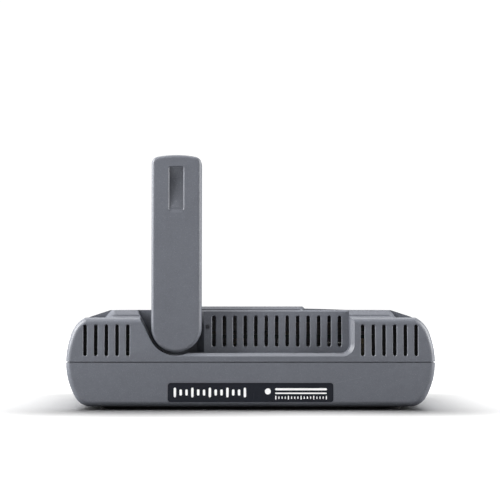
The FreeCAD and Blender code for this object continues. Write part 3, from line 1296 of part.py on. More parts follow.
# ================================================================ sockets in the back
def socket_body(x, collar_r, bore_r, bore_end, block_width, block_y0):
    """Round collar through the back wall on a block that stands on the main board."""
    y1 = BACK_Y - JACK_SET_IN
    collar = rod_y(x, SOCKET_Z, collar_r, BACK_Y - WALL - JACK_COLLAR, y1)
    mouth = [e for e in collar.Edges if abs(e.BoundBox.YMin - y1) < 0.01]
    collar = collar.makeChamfer(JACK_CHAMFER, mouth)
    half = block_width / 2
    block = box(x - half, x + half, block_y0, BACK_Y - JACK_BLOCK_BACK, BOARD_TOP_Z, SOCKET_Z + half)
    bore = rod_y(x, SOCKET_Z, bore_r, bore_end, BACK_Y + 1)
    return fuse([collar, block]).cut(bore)


def coax_jack(x):
    """Press-on coaxial socket with a plated barrel."""
    bore_end = BACK_Y - JACK_SET_IN - COAX_JACK_BORE - COAX_JACK_DEEP
    block_y0 = BACK_Y - JACK_BLOCK_BACK - COAX_JACK_BLOCK
    return socket_body(x, COAX_JACK_R, COAX_JACK_BORE_R, bore_end, COAX_JACK_BLOCK, block_y0)


def jack_insulators():
    """White insulators at the bottom of the three coaxial sockets."""
    y1 = BACK_Y - JACK_SET_IN - COAX_JACK_BORE
    y0 = y1 - COAX_JACK_DEEP
    return group(ring_y(x, SOCKET_Z, COAX_JACK_BORE_R, CONTACT_R, y0, y1) for x in COAX_JACK_X)


def jack_contacts():
    """Gold centre contacts, each with the hole that takes a plug's pin."""
    y1 = BACK_Y - JACK_SET_IN - COAX_JACK_BORE
    pin_hole_r, pin_hole_depth = 0.28, 2.2
    return group(ring_y(x, SOCKET_Z, CONTACT_R, pin_hole_r, y1 - pin_hole_depth, y1).fuse(
        rod_y(x, SOCKET_Z, CONTACT_R, y1 - COAX_JACK_DEEP, y1 - pin_hole_depth)) for x in COAX_JACK_X)


def audio_jack():
    """Black 3.5 mm headphone socket with its collar in the back wall."""
    bore_end = BACK_Y - JACK_SET_IN - AUDIO_BORE
    end_wall = 1.6
    return socket_body(AUDIO_X, AUDIO_R, AUDIO_BORE_R, bore_end, AUDIO_BLOCK, bore_end - end_wall)


def usb_shell():
    """Folded steel shell of the power and data socket."""
    z = BOARD_TOP_Z + USB_HEIGHT / 2
    y1 = BACK_Y - USB_BEZEL
    outer = slab_y(USB_WIDTH / 2, USB_HEIGHT / 2, 0.9, y1 - USB_DEPTH, y1, USB_X, z)
    inner = slab_y(USB_WIDTH / 2 - USB_SHELL, USB_HEIGHT / 2 - USB_SHELL, 0.5, y1 - USB_DEPTH + 0.6, y1 + 1,
                   USB_X, z)
    return outer.cut(inner)


def usb_tongue():
    """Plastic tongue with the contacts inside the power and data socket."""
    z = BOARD_TOP_Z + USB_HEIGHT / 2
    y1 = BACK_Y - USB_BEZEL
    return box(USB_X - 2.4, USB_X + 2.4, y1 - USB_DEPTH + 0.6, y1 - 1.2, z - 0.35, z + 0.35)


# ================================================================ write the nodes
def nodes():
    position_x, satellite_x, traffic_x = COAX_JACK_X
    return {
        "upper_housing": upper_housing(),
        "lower_housing": lower_housing(),
        "base_pad": base_pad(),
        "front_label": front_label(),
        "housing_screws": housing_screws(),
        "status_panel": status_panel(),
        "status_light_pipes": status_light_pipes(),
        "status_leds": status_leds(),
        "power_button": power_button(),
        "switch_base": switch_base(),
        "switch_stem": switch_stem(),
        "vent_screens": vent_screens(),
        "blade_front_cover": blade_front_cover(),
        "blade_rear_cover": blade_rear_cover(),
        "blade_screws": blade_screws(),
        "blade_board": blade_board(),
        "blade_radiator": blade_radiator(),
        "blade_coax": blade_coax(),
        "hinge_shaft": hinge_shaft(),
        "hinge_bush": hinge_bush(),
        "hinge_thrust_washer": hinge_thrust_washer(),
        "hinge_spring_washer": hinge_spring_washer(),
        "hinge_retaining_clip": hinge_retaining_clip(),
        "hinge_coax": hinge_coax(),
        "coax_plug": coax_plug(),
        "main_board": main_board(),
        "antenna_board": antenna_board(),
        "board_standoffs": board_standoffs(),
        "board_screws": board_screws(),
        "position_patch": position_patch(),
        "satellite_patch": satellite_patch(),
        "patch_electrodes": patch_electrodes(),
        "shield_cans": shield_cans(),
        "board_chips": board_chips(),
        "battery_pack": battery_pack(),
        "battery_foam": battery_foam(),
        "battery_plug": battery_plug(),
        "battery_lead": battery_lead(),
        "position_jack": coax_jack(position_x),
        "satellite_jack": coax_jack(satellite_x),
        "traffic_jack": coax_jack(traffic_x),
        "jack_insulators": jack_insulators(),
        "jack_contacts": jack_contacts(),
        "audio_jack": audio_jack(),
        "usb_shell": usb_shell(),
        "usb_tongue": usb_tongue(),
    }


def main():
    os.makedirs("parts", exist_ok=True)
    made = nodes()
    for name, shape in made.items():
        if not shape.Solids or not shape.isValid():
            raise ValueError(f"{name} is not a sound solid")
        shape.exportStep(f"parts/{name}.step")
    print(f"wrote {len(made)} nodes")


main()
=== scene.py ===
import math

import bmesh
import bpy
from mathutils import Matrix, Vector


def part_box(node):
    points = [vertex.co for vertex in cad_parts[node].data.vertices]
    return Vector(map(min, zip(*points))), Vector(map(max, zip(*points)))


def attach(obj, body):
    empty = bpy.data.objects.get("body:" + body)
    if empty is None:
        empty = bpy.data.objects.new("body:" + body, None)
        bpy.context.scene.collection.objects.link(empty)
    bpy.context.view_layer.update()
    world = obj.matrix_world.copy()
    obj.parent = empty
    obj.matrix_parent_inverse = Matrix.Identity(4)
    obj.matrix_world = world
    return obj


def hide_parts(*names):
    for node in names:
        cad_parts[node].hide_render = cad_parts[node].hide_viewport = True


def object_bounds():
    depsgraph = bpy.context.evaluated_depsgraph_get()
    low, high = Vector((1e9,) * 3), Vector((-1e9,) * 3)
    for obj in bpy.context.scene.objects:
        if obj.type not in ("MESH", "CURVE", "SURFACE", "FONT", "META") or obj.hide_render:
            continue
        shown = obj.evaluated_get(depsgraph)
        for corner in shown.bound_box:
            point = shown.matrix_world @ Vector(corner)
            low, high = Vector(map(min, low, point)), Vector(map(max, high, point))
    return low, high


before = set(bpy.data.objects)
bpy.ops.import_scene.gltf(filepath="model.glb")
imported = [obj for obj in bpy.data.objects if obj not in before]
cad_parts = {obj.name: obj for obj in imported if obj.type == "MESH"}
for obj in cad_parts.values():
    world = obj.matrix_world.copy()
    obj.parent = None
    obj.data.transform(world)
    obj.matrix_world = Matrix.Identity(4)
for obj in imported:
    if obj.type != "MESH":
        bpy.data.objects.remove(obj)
cad_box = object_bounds()


# ------------------------------------------------------------------ moulded case
# The two halves of the case are injection-moulded ABS in slate grey, joined at a shadow groove by four
# screws from below. The moulds are spark-eroded, which leaves a fine matt grain, and the plastic is
# loaded with a metallic pigment, so its tone is never quite even.
MM = 0.001


def add_node(tree, kind, inputs, **settings):
    """First output of a new node; its inputs are given as values or linked from sockets."""
    node = tree.nodes.new(kind)
    for name, value in settings.items():
        setattr(node, name, value)
    for name, value in inputs.items():
        if isinstance(value, bpy.types.NodeSocket):
            tree.links.new(value, node.inputs[name])
        else:
            node.inputs[name].default_value = value
    return node.outputs[0]


def node_group(name, inputs, outputs):
    """Shader group with float sockets beside its Vector; inputs maps a name to its default value."""
    tree = bpy.data.node_groups.new(name, "ShaderNodeTree")
    tree.interface.new_socket("Vector", in_out="INPUT", socket_type="NodeSocketVector")
    for label, value in inputs.items():
        socket = tree.interface.new_socket(label, in_out="INPUT", socket_type="NodeSocketFloat")
        socket.default_value = value
    for label in outputs:
        tree.interface.new_socket(label, in_out="OUTPUT", socket_type="NodeSocketFloat")
    return tree, tree.nodes.new("NodeGroupInput").outputs, tree.nodes.new("NodeGroupOutput").inputs


def math_node(tree, operation, *values):
    """Result of one sum on numbers or sockets."""
    return add_node(tree, "ShaderNodeMath", dict(enumerate(values)), operation=operation)


def noise(tree, vector, scale, detail=2.0, roughness=0.5):
    """Soft random pattern from 0 to 1, with scale its number of features in a metre."""
    return add_node(tree, "ShaderNodeTexNoise",
                    {"Vector": vector, "Scale": scale, "Detail": detail, "Roughness": roughness})


def stretched(tree, vector, x=1.0, y=1.0, z=1.0):
    """The same coordinates, scaled along each axis."""
    return add_node(tree, "ShaderNodeMapping", {"Vector": vector, "Scale": (x, y, z)})


def split(tree, vector):
    """X, Y and Z of a vector."""
    node = tree.nodes.new("ShaderNodeSeparateXYZ")
    tree.links.new(vector, node.inputs[0])
    return node.outputs


def step_between(tree, value, low, high):
    """0 at low and below, 1 at high and above, smooth between."""
    return add_node(tree, "ShaderNodeMapRange", {"Value": value, "From Min": low, "From Max": high},
                    interpolation_type="SMOOTHSTEP")


def value_between(tree, factor, low, high):
    """Value that runs from low to high as the factor goes from 0 to 1."""
    return add_node(tree, "ShaderNodeMapRange", {"Value": factor, "To Min": low, "To Max": high})


def colour_between(tree, factor, dark, light):
    """Colour that runs from dark to light as the factor goes from 0 to 1; each may be a socket."""
    node = tree.nodes.new("ShaderNodeMix")
    node.data_type = "RGBA"
    tree.links.new(factor, node.inputs["Factor"])
    for socket, colour in (("A", dark), ("B", light)):
        if isinstance(colour, bpy.types.NodeSocket):
            tree.links.new(colour, node.inputs[socket])
        else:
            node.inputs[socket].default_value = (*colour, 1.0)
    return node.outputs["Result"]


def make_moulded_grain():
    """Matt moulded surface: its tone, gloss, flecks of pigment and grain height, each from 0 to 1."""
    tree, given, result = node_group("moulded_grain", {"Grain per metre": 2400.0},
                                     ["Tone", "Gloss", "Fleck", "Height"])
    vector, scale = given["Vector"], given["Grain per metre"]
    fine = noise(tree, vector, scale, 3.0, 0.6)
    cloud = noise(tree, vector, math_node(tree, "MULTIPLY", scale, 0.2), 3.0, 0.6)
    blotch = noise(tree, vector, math_node(tree, "MULTIPLY", scale, 0.03), 2.0, 0.5)
    pigment = noise(tree, vector, math_node(tree, "MULTIPLY", scale, 1.6), 1.0, 0.4)
    tone = math_node(tree, "MULTIPLY", fine, 0.45)
    for layer, share in ((cloud, 0.4), (blotch, 0.15)):
        tone = math_node(tree, "ADD", tone, math_node(tree, "MULTIPLY", layer, share))
    tree.links.new(tone, result["Tone"])
    tree.links.new(blotch, result["Gloss"])
    tree.links.new(step_between(tree, pigment, 0.60, 0.76), result["Fleck"])
    tree.links.new(fine, result["Height"])
    return tree


moulded_grain = make_moulded_grain()
FLAT_POINTINESS = 0.52     # just above that of a flat face, so that only outer edges count


def make_edge_wear():
    """Rubbed outer edges and thin dust: Edge is 1 where a corner is handled, Dust where it settles."""
    tree, given, result = node_group("edge_wear_and_dust", {"Edge gain": 8.0, "Dust per metre": 160.0},
                                     ["Edge", "Dust"])
    geometry = tree.nodes.new("ShaderNodeNewGeometry").outputs
    sharpness = math_node(tree, "SUBTRACT", geometry["Pointiness"], FLAT_POINTINESS)
    rubbed = math_node(tree, "MULTIPLY", sharpness, given["Edge gain"])
    patchy = noise(tree, given["Vector"], 500.0, 3.0, 0.7)
    edge = math_node(tree, "MULTIPLY", rubbed, patchy)
    edge = math_node(tree, "MINIMUM", math_node(tree, "MAXIMUM", edge, 0.0), 1.0)
    up = math_node(tree, "MAXIMUM", split(tree, geometry["Normal"])[2], 0.0)
    dust = math_node(tree, "MULTIPLY", up, noise(tree, given["Vector"], given["Dust per metre"], 5.0, 0.7))
    tree.links.new(edge, result["Edge"])
    tree.links.new(dust, result["Dust"])
    return tree


edge_wear = make_edge_wear()
DUST = (0.45, 0.44, 0.42)


def new_material(name, colour, metallic=0.0, roughness=0.5, specular=0.5):
    """Material with a Principled shader whose even values are set on its own sockets."""
    material = bpy.data.materials.new(name)
    material.use_nodes = True
    material.diffuse_color = (*colour, 1.0)
    shader = material.node_tree.nodes["Principled BSDF"]
    shader.inputs["Base Color"].default_value = (*colour, 1.0)
    shader.inputs["Metallic"].default_value = metallic
    shader.inputs["Roughness"].default_value = roughness
    shader.inputs["Specular IOR Level"].default_value = specular
    return material, material.node_tree, shader


def object_coordinates(tree):
    """Place on the piece itself, in metres, so that the finish moves with it."""
    return tree.nodes.new("ShaderNodeTexCoord").outputs["Object"]


def use_group(tree, group, vector, **values):
    """Outputs of a shader group; each value is named after its socket."""
    node = tree.nodes.new("ShaderNodeGroup")
    node.node_tree = group
    tree.links.new(vector, node.inputs["Vector"])
    for label, value in values.items():
        node.inputs[label.replace("_", " ")].default_value = value
    return node.outputs


def add_bump(tree, shader, height, depth):
    """Bump whose full height is depth, in metres."""
    normal = add_node(tree, "ShaderNodeBump", {"Height": height, "Distance": depth})
    tree.links.new(normal, shader.inputs["Normal"])


def moulded_plastic(name, colour, contrast=0.30, gloss=(0.40, 0.52), fleck=0.0, depth=0.012 * MM,
                    wear=0.15, dust=0.05, grain_per_metre=2400.0):
    """Moulded plastic: contrast is how far its tone varies, gloss its least and greatest roughness."""
    material, tree, shader = new_material(name, colour)
    here = object_coordinates(tree)
    grain = use_group(tree, moulded_grain, here, Grain_per_metre=grain_per_metre)
    worn = use_group(tree, edge_wear, here)
    base = colour_between(tree, grain["Tone"], [c * (1 - contrast) for c in colour],
                          [c * (1 + contrast) for c in colour])
    if fleck:
        base = colour_between(tree, math_node(tree, "MULTIPLY", grain["Fleck"], fleck), base,
                              [min(c * 2.2, 1.0) for c in colour])
    base = colour_between(tree, math_node(tree, "MULTIPLY", worn["Edge"], wear), base,
                          [min(c * 1.8 + 0.03, 1.0) for c in colour])
    base = colour_between(tree, math_node(tree, "MULTIPLY", worn["Dust"], dust), base, DUST)
    tree.links.new(base, shader.inputs["Base Color"])
    rough = value_between(tree, grain["Gloss"], *gloss)
    polish = math_node(tree, "MULTIPLY", worn["Edge"], wear * 0.3)
    tree.links.new(math_node(tree, "SUBTRACT", rough, polish), shader.inputs["Roughness"])
    add_bump(tree, shader, grain["Height"], depth)
    return material


def finish_nodes(material, *names):
    """Puts a material on CAD nodes."""
    for name in names:
        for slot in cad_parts[name].material_slots:
            slot.material = material


SLATE = (0.090, 0.096, 0.113)
case_plastic = moulded_plastic("slate_case", SLATE, fleck=0.5)
finish_nodes(case_plastic, "upper_housing", "lower_housing")


# ------------------------------------------------------------------ vent screens
# Behind each row of slots a panel of black woven monofilament keeps dust out. It is heat-staked to the
# inside of the wall, so only slivers of the weave show through the slots.
def geometry_tree(name, inputs):
    """Geometry Nodes tree with named inputs, given by kind and default value, and their identifiers."""
    tree = bpy.data.node_groups.new(name, "GeometryNodeTree")
    tree.interface.new_socket("Geometry", in_out="INPUT", socket_type="NodeSocketGeometry")
    tree.interface.new_socket("Geometry", in_out="OUTPUT", socket_type="NodeSocketGeometry")
    identifiers = {}
    for label, (kind, value) in inputs.items():
        socket = tree.interface.new_socket(label, in_out="INPUT", socket_type=f"NodeSocket{kind}")
        socket.default_value = value
        identifiers[label] = socket.identifier
    return tree, identifiers, tree.nodes.new("NodeGroupInput").outputs


def axes(tree, **parts):
    """Vector with the named axes X, Y and Z; the others are 0."""
    return add_node(tree, "ShaderNodeCombineXYZ", parts)


def joined(tree, *parts):
    """One geometry from several."""
    join = tree.nodes.new("GeometryNodeJoinGeometry")
    for part in parts:
        tree.links.new(part, join.inputs["Geometry"])
    return join.outputs[0]


def end_tree(tree, geometry, material):
    """Makes the instances real and gives them the material."""
    real = add_node(tree, "GeometryNodeRealizeInstances", {"Geometry": geometry})
    painted = add_node(tree, "GeometryNodeSetMaterial", {"Geometry": real, "Material": material})
    tree.links.new(painted, tree.nodes.new("NodeGroupOutput").inputs["Geometry"])


def baked_piece(name, tree, values, body):
    """Runs a Geometry Nodes tree on a new object, keeps the result as a plain mesh and lets it ride."""
    piece = bpy.data.objects.new(name, bpy.data.meshes.new(name))
    bpy.context.scene.collection.objects.link(piece)
    modifier = piece.modifiers.new("make", "NODES")
    modifier.node_group = tree
    for identifier, value in values.items():
        modifier[identifier] = value
    graph = bpy.context.evaluated_depsgraph_get()
    mesh = bpy.data.meshes.new_from_object(piece.evaluated_get(graph), depsgraph=graph)
    piece.modifiers.remove(modifier)
    piece.data = mesh
    mesh.name = name
    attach(piece, body)
    return piece


WEAVE_SHIFT = 0.4          # how far each layer of threads lies off the middle, in threads


def make_screen_tree(material):
    """A grid of square threads in the XZ plane: upright ones in one layer, level ones in the other."""
    tree, identifiers, given = geometry_tree("woven_screen", {
        "Centre": ("Vector", (0, 0, 0)), "Width": ("Float", 0.04), "Height": ("Float", 0.01),
        "Across": ("Int", 40), "Up": ("Int", 10), "Thread": ("Float", 0.0002)})
    thick = given["Thread"]
    layers = []
    for count, length, spread, along, aside, shift in (
            ("Across", "Height", "Width", "Z", "X", WEAVE_SHIFT),
            ("Up", "Width", "Height", "X", "Z", -WEAVE_SHIFT)):
        half = math_node(tree, "MULTIPLY", given[spread], 0.5)
        row = add_node(tree, "GeometryNodeMeshLine", {
            "Count": given[count],
            "Start Location": axes(tree, **{aside: math_node(tree, "MULTIPLY", half, -1.0)}),
            "Offset": axes(tree, **{aside: half})}, mode="END_POINTS")
        size = axes(tree, **{along: given[length], aside: thick, "Y": thick})
        thread = add_node(tree, "GeometryNodeMeshCube", {"Size": size})
        threads = add_node(tree, "GeometryNodeInstanceOnPoints", {"Points": row, "Instance": thread})
        layers.append(add_node(tree, "GeometryNodeTransform", {
            "Geometry": threads, "Translation": axes(tree, Y=math_node(tree, "MULTIPLY", thick, shift))}))
    placed = add_node(tree, "GeometryNodeTransform",
                      {"Geometry": joined(tree, *layers), "Translation": given["Centre"]})
    end_tree(tree, placed, material)
    return tree, identifiers


CORNER_WELD = 1e-6         # closer corners of the panels are one corner


def screen_fields():
    """Lowest and highest corners of the screen's separate panels, left to right."""
    mesh = bmesh.new()
    mesh.from_mesh(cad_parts["vent_screens"].data)
    bmesh.ops.remove_doubles(mesh, verts=mesh.verts, dist=CORNER_WELD)
    fields, seen = [], set()
    for vert in mesh.verts:
        if vert in seen:
            continue
        island, queue = [], [vert]
        seen.add(vert)
        while queue:
            here = queue.pop()
            island.append(here.co.copy())
            for edge in here.link_edges:
                other = edge.other_vert(here)
                if other not in seen:
                    seen.add(other)
                    queue.append(other)
        low = Vector([min(point[i] for point in island) for i in range(3)])
        high = Vector([max(point[i] for point in island) for i in range(3)])
        fields.append((low, high))
    mesh.free()
    return sorted(fields, key=lambda field: field[0].x)


MONOFILAMENT = (0.006, 0.006, 0.007)
MESH_PITCH = 0.42 * MM     # from one thread to the next
THREAD = 0.16 * MM         # thickness of a thread
screen_tree, screen_ids = make_screen_tree(
    moulded_plastic("black_monofilament", MONOFILAMENT, gloss=(0.45, 0.6), wear=0.0, dust=0.1))
for side, (low, high) in zip(("left", "recess", "right"), screen_fields()):
    size, middle = high - low, (low + high) / 2
    screen = baked_piece(f"vent_mesh_{side}", screen_tree, {
        screen_ids["Centre"]: (middle.x, low.y + THREAD, middle.z),
        screen_ids["Width"]: size.x - THREAD,
        screen_ids["Height"]: size.z - THREAD,
        screen_ids["Across"]: int(size.x / MESH_PITCH),
        screen_ids["Up"]: int(size.z / MESH_PITCH),
        screen_ids["Thread"]: THREAD}, "housing")
    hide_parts("vent_screens")


# ------------------------------------------------------------------ front label
# A thin polycarbonate plate in gloss black, bedded in a pocket of the lower half. Its print is white ink
# on the front face: a row of bars, a dot, two rules and a row of graduation ticks.
def gloss_black():
    material, tree, shader = new_material("label_gloss", (0.007, 0.008, 0.012), specular=0.25)
    here = object_coordinates(tree)
    haze = noise(tree, here, 90.0, 4.0, 0.6)
    scratch = noise(tree, stretched(tree, here, 3000.0, 1.0, 120.0), 1.0, 2.0, 0.6)
    fine = step_between(tree, scratch, 0.62, 0.72)
    tree.links.new(colour_between(tree, haze, (0.004, 0.005, 0.009), (0.008, 0.010, 0.016)),
                   shader.inputs["Base Color"])
    rough = value_between(tree, haze, 0.14, 0.24)
    tree.links.new(math_node(tree, "ADD", rough, math_node(tree, "MULTIPLY", fine, 0.1)),
                   shader.inputs["Roughness"])
    add_bump(tree, shader, scratch, 0.0006 * MM)
    return material


finish_nodes(gloss_black(), "front_label")


def white_ink():
    material, tree, shader = new_material("white_ink", (0.80, 0.80, 0.80), roughness=0.4)
    body = noise(tree, object_coordinates(tree), 5200.0, 3.0, 0.6)
    tree.links.new(colour_between(tree, body, (0.70, 0.70, 0.71), (0.90, 0.90, 0.90)),
                   shader.inputs["Base Color"])
    tree.links.new(value_between(tree, body, 0.32, 0.5), shader.inputs["Roughness"])
    add_bump(tree, shader, body, 0.002 * MM)
    return material


label_low, label_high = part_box("front_label")
label_middle = (label_low + label_high) / 2
INK_THICK = 0.03 * MM
INK_Y = label_low.y - INK_THICK / 2


INK_WELD = 1e-7            # joins the sides of a mark to its back
CORNER_STEPS = 5


def make_print_tree(material):
    """A row along X of upright rounded marks; the first and every so many after it are taller."""
    tree, identifiers, given = geometry_tree("print_row", {
        "Start": ("Vector", (0, 0, 0)), "Step": ("Float", 0.001), "Count": ("Int", 5),
        "Width": ("Float", 0.0005), "Height": ("Float", 0.002), "Corner": ("Float", 0.0001),
        "Thickness": ("Float", 0.00003), "Every": ("Int", 1000), "Tall": ("Float", 1.0)})
    outline = add_node(tree, "GeometryNodeCurvePrimitiveQuadrilateral",
                       {"Width": given["Width"], "Height": given["Height"]})
    outline = add_node(tree, "GeometryNodeFilletCurve", {
        "Curve": outline, "Radius": given["Corner"], "Count": CORNER_STEPS, "Limit Radius": True},
        mode="POLY")
    face = add_node(tree, "GeometryNodeFillCurve", {"Curve": outline}, mode="NGONS")
    raised = add_node(tree, "GeometryNodeExtrudeMesh",
                      {"Mesh": face, "Offset Scale": given["Thickness"], "Individual": False})
    under = add_node(tree, "GeometryNodeFlipFaces", {"Mesh": face})
    mark = add_node(tree, "GeometryNodeMergeByDistance",
                    {"Geometry": joined(tree, raised, under), "Distance": INK_WELD})
    row = add_node(tree, "GeometryNodeMeshLine", {
        "Count": given["Count"], "Start Location": given["Start"], "Offset": axes(tree, X=given["Step"])})
    turn = math_node(tree, "MODULO", add_node(tree, "GeometryNodeInputIndex", {}), given["Every"])
    height = value_between(tree, math_node(tree, "LESS_THAN", turn, 0.5), 1.0, given["Tall"])
    marks = add_node(tree, "GeometryNodeInstanceOnPoints", {
        "Points": row, "Instance": mark, "Rotation": (math.pi / 2, 0, 0),
        "Scale": axes(tree, X=1.0, Y=height, Z=1.0)})
    end_tree(tree, marks, material)
    return tree, identifiers


print_tree, print_ids = make_print_tree(white_ink())


def print_row(name, x, z, width, height, corner, count=1, step=1.0, every=1000, tall=1.0):
    """Row of printed marks; x and z place the first one, in millimetres from the label's middle."""
    values = {
        "Start": (label_middle.x + x * MM, INK_Y + INK_THICK, label_middle.z + z * MM),
        "Step": step * MM, "Count": count, "Width": width * MM, "Height": height * MM,
        "Corner": corner * MM, "Thickness": INK_THICK, "Every": every, "Tall": tall}
    baked_piece(name, print_tree, {print_ids[label]: value for label, value in values.items()},
                "housing")


print_row("label_print_bars", -24.9, 0.0, 0.8, 2.0, 0.34, count=13, step=1.92, every=3, tall=1.6)
print_row("label_print_dot", 5.7, 0.35, 2.0, 2.0, 0.999)
print_row("label_print_rule", 16.6, 1.05, 17.0, 0.7, 0.34)
print_row("label_print_band", 16.6, -0.25, 17.0, 0.45, 0.22)
print_row("label_print_ticks", 8.3, -1.7, 0.34, 0.8, 0.12, count=17, step=1.04, every=4, tall=1.55)


# ------------------------------------------------------------------ base pad
# A die-cut mat of black rubber, glued into a shallow pocket in the underside. It keeps the case from
# sliding on a glare shield. Grooves let air under it, and its skin is faintly pebbled and smudged.
def pad_rubber():
    material, tree, shader = new_material("pad_rubber", (0.018, 0.018, 0.019))
    here = object_coordinates(tree)
    pebble = add_node(tree, "ShaderNodeTexVoronoi", {"Vector": here, "Scale": 1500.0}, feature="SMOOTH_F1")
    worn = use_group(tree, edge_wear, here, Dust_per_metre=260.0)
    smudge = noise(tree, here, 60.0, 5.0, 0.65)
    base = colour_between(tree, smudge, (0.012, 0.012, 0.013), (0.026, 0.026, 0.027))
    base = colour_between(tree, math_node(tree, "MULTIPLY", worn["Edge"], 0.25), base, (0.08, 0.08, 0.08))
    tree.links.new(base, shader.inputs["Base Color"])
    tree.links.new(value_between(tree, smudge, 0.72, 0.92), shader.inputs["Roughness"])
    add_bump(tree, shader, pebble, 0.05 * MM)
    return material


finish_nodes(pad_rubber(), "base_pad")


# ------------------------------------------------------------------ steel screws, clips and shells
# The case screws, blade screws, hinge shaft, clips and washers and the power socket's shell are carbon
# or stainless steel, turned or pressed and then plated. The tools leave fine lines round or along them.
def worked_metal(name, colour, roughness=(0.22, 0.38), lines=(4000.0, 4000.0, 400.0), stain=0.15,
                 depth=0.002 * MM, tarnish=None):
    """Metal with fine tool lines, so many in a metre along each axis, faint stains and rubbed edges."""
    material, tree, shader = new_material(name, colour, metallic=1.0)
    here = object_coordinates(tree)
    line = noise(tree, stretched(tree, here, *lines), 1.0, 3.0, 0.6)
    cloud = noise(tree, here, 240.0, 4.0, 0.6)
    worn = use_group(tree, edge_wear, here, Edge_gain=12.0)
    base = colour_between(tree, line, [c * 0.86 for c in colour], [min(c * 1.1, 1.0) for c in colour])
    stained = math_node(tree, "MULTIPLY", step_between(tree, cloud, 0.45, 0.8), stain)
    base = colour_between(tree, stained, base, tarnish or [c * 0.5 for c in colour])
    base = colour_between(tree, math_node(tree, "MULTIPLY", worn["Edge"], 0.4), base,
                          [min(c * 1.2 + 0.05, 1.0) for c in colour])
    tree.links.new(base, shader.inputs["Base Color"])
    rough = value_between(tree, line, *roughness)
    tree.links.new(math_node(tree, "ADD", rough, math_node(tree, "MULTIPLY", cloud, 0.08)),
                   shader.inputs["Roughness"])
    add_bump(tree, shader, line, depth)
    return material


plated_steel = worked_metal("plated_steel", (0.46, 0.46, 0.47))
finish_nodes(plated_steel, "housing_screws", "blade_screws", "board_screws", "hinge_shaft",
             "hinge_retaining_clip", "hinge_spring_washer")
pressed_steel = worked_metal("pressed_socket_steel", (0.52, 0.52, 0.51), lines=(400.0, 4000.0, 4000.0))
finish_nodes(pressed_steel, "usb_shell")


# ------------------------------------------------------------------ status panel
# A separate moulding in a slightly darker, smoother slate, clipped into a pocket on top of the case.
# Fingers find the power key on it; its finish is a little glossier than the case's.
PANEL_SLATE = (0.088, 0.093, 0.110)
panel_satin = moulded_plastic("panel_satin", PANEL_SLATE, contrast=0.14, gloss=(0.30, 0.42), depth=0.006 * MM,
                              grain_per_metre=3600.0)
finish_nodes(panel_satin, "status_panel")


# ------------------------------------------------------------------ status lights
# Five clear acrylic pipes rise from lamps on the antenna board to windows in the panel. Their tops are
# frosted, so an unlit lamp shows as a pale milky oval.
ACRYLIC_IOR = 1.49


def frosted_acrylic():
    material, tree, shader = new_material("frosted_acrylic", (0.70, 0.73, 0.75), roughness=0.35)
    here = object_coordinates(tree)
    frost = noise(tree, here, 4200.0, 3.0, 0.6)
    milk = noise(tree, here, 420.0, 2.0, 0.5)
    tree.links.new(colour_between(tree, milk, (0.56, 0.60, 0.62), (0.80, 0.83, 0.84)),
                   shader.inputs["Base Color"])
    tree.links.new(value_between(tree, frost, 0.22, 0.46), shader.inputs["Roughness"])
    shader.inputs["IOR"].default_value = ACRYLIC_IOR
    shader.inputs["Subsurface Weight"].default_value = 0.2
    shader.inputs["Subsurface Radius"].default_value = (1.0 * MM, 1.0 * MM, 1.0 * MM)
    add_bump(tree, shader, frost, 0.004 * MM)
    return material


finish_nodes(frosted_acrylic(), "status_light_pipes")


def lamp_resin():
    material, tree, shader = new_material("lamp_resin", (0.80, 0.74, 0.42), roughness=0.25)
    phosphor = noise(tree, object_coordinates(tree), 2600.0, 4.0, 0.7)
    tree.links.new(colour_between(tree, phosphor, (0.66, 0.58, 0.26), (0.90, 0.86, 0.60)),
                   shader.inputs["Base Color"])
    tree.links.new(value_between(tree, phosphor, 0.15, 0.4), shader.inputs["Roughness"])
    add_bump(tree, shader, phosphor, 0.004 * MM)
    return material


finish_nodes(lamp_resin(), "status_leds")


# ------------------------------------------------------------------ power key and its switch
# The round key is moulded in charcoal, a shade darker than the panel, and dished for a fingertip, with
# the power mark engraved in it. Under it a small push switch sits on the antenna board.
def key_plastic():
    material, tree, shader = new_material("charcoal_key", (0.040, 0.042, 0.048))
    here = object_coordinates(tree)
    grain = use_group(tree, moulded_grain, here, Grain_per_metre=3400.0)
    worn = use_group(tree, edge_wear, here)
    base = colour_between(tree, grain["Tone"], (0.026, 0.027, 0.031), (0.058, 0.060, 0.068))
    base = colour_between(tree, math_node(tree, "MULTIPLY", worn["Edge"], 0.3), base, (0.14, 0.145, 0.16))
    tree.links.new(base, shader.inputs["Base Color"])
    tree.links.new(value_between(tree, grain["Gloss"], 0.30, 0.42), shader.inputs["Roughness"])
    add_bump(tree, shader, grain["Height"], 0.006 * MM)
    return material


finish_nodes(key_plastic(), "power_button")
nylon = moulded_plastic("natural_nylon", (0.68, 0.67, 0.62), contrast=0.08, gloss=(0.34, 0.46), dust=0.0)
finish_nodes(nylon, "switch_stem", "battery_plug", "jack_insulators", "hinge_thrust_washer")
component_black = moulded_plastic("black_component", (0.016, 0.016, 0.018), contrast=0.25,
                                  gloss=(0.36, 0.55), wear=0.3)
finish_nodes(component_black, "switch_base", "usb_tongue", "board_chips")
socket_black = moulded_plastic("black_socket", (0.014, 0.014, 0.015), contrast=0.2, gloss=(0.28, 0.4),
                               wear=0.35)
finish_nodes(socket_black, "audio_jack")


# ------------------------------------------------------------------ aerial blade
# The blade is two thin mouldings in the same slate plastic as the case, closed by two screws from the
# back. A dished thumb groove near its tip helps to lift it out of its recess.
blade_plastic = moulded_plastic("slate_blade", SLATE, fleck=0.5, gloss=(0.42, 0.52))
finish_nodes(blade_plastic, "blade_front_cover", "blade_rear_cover")


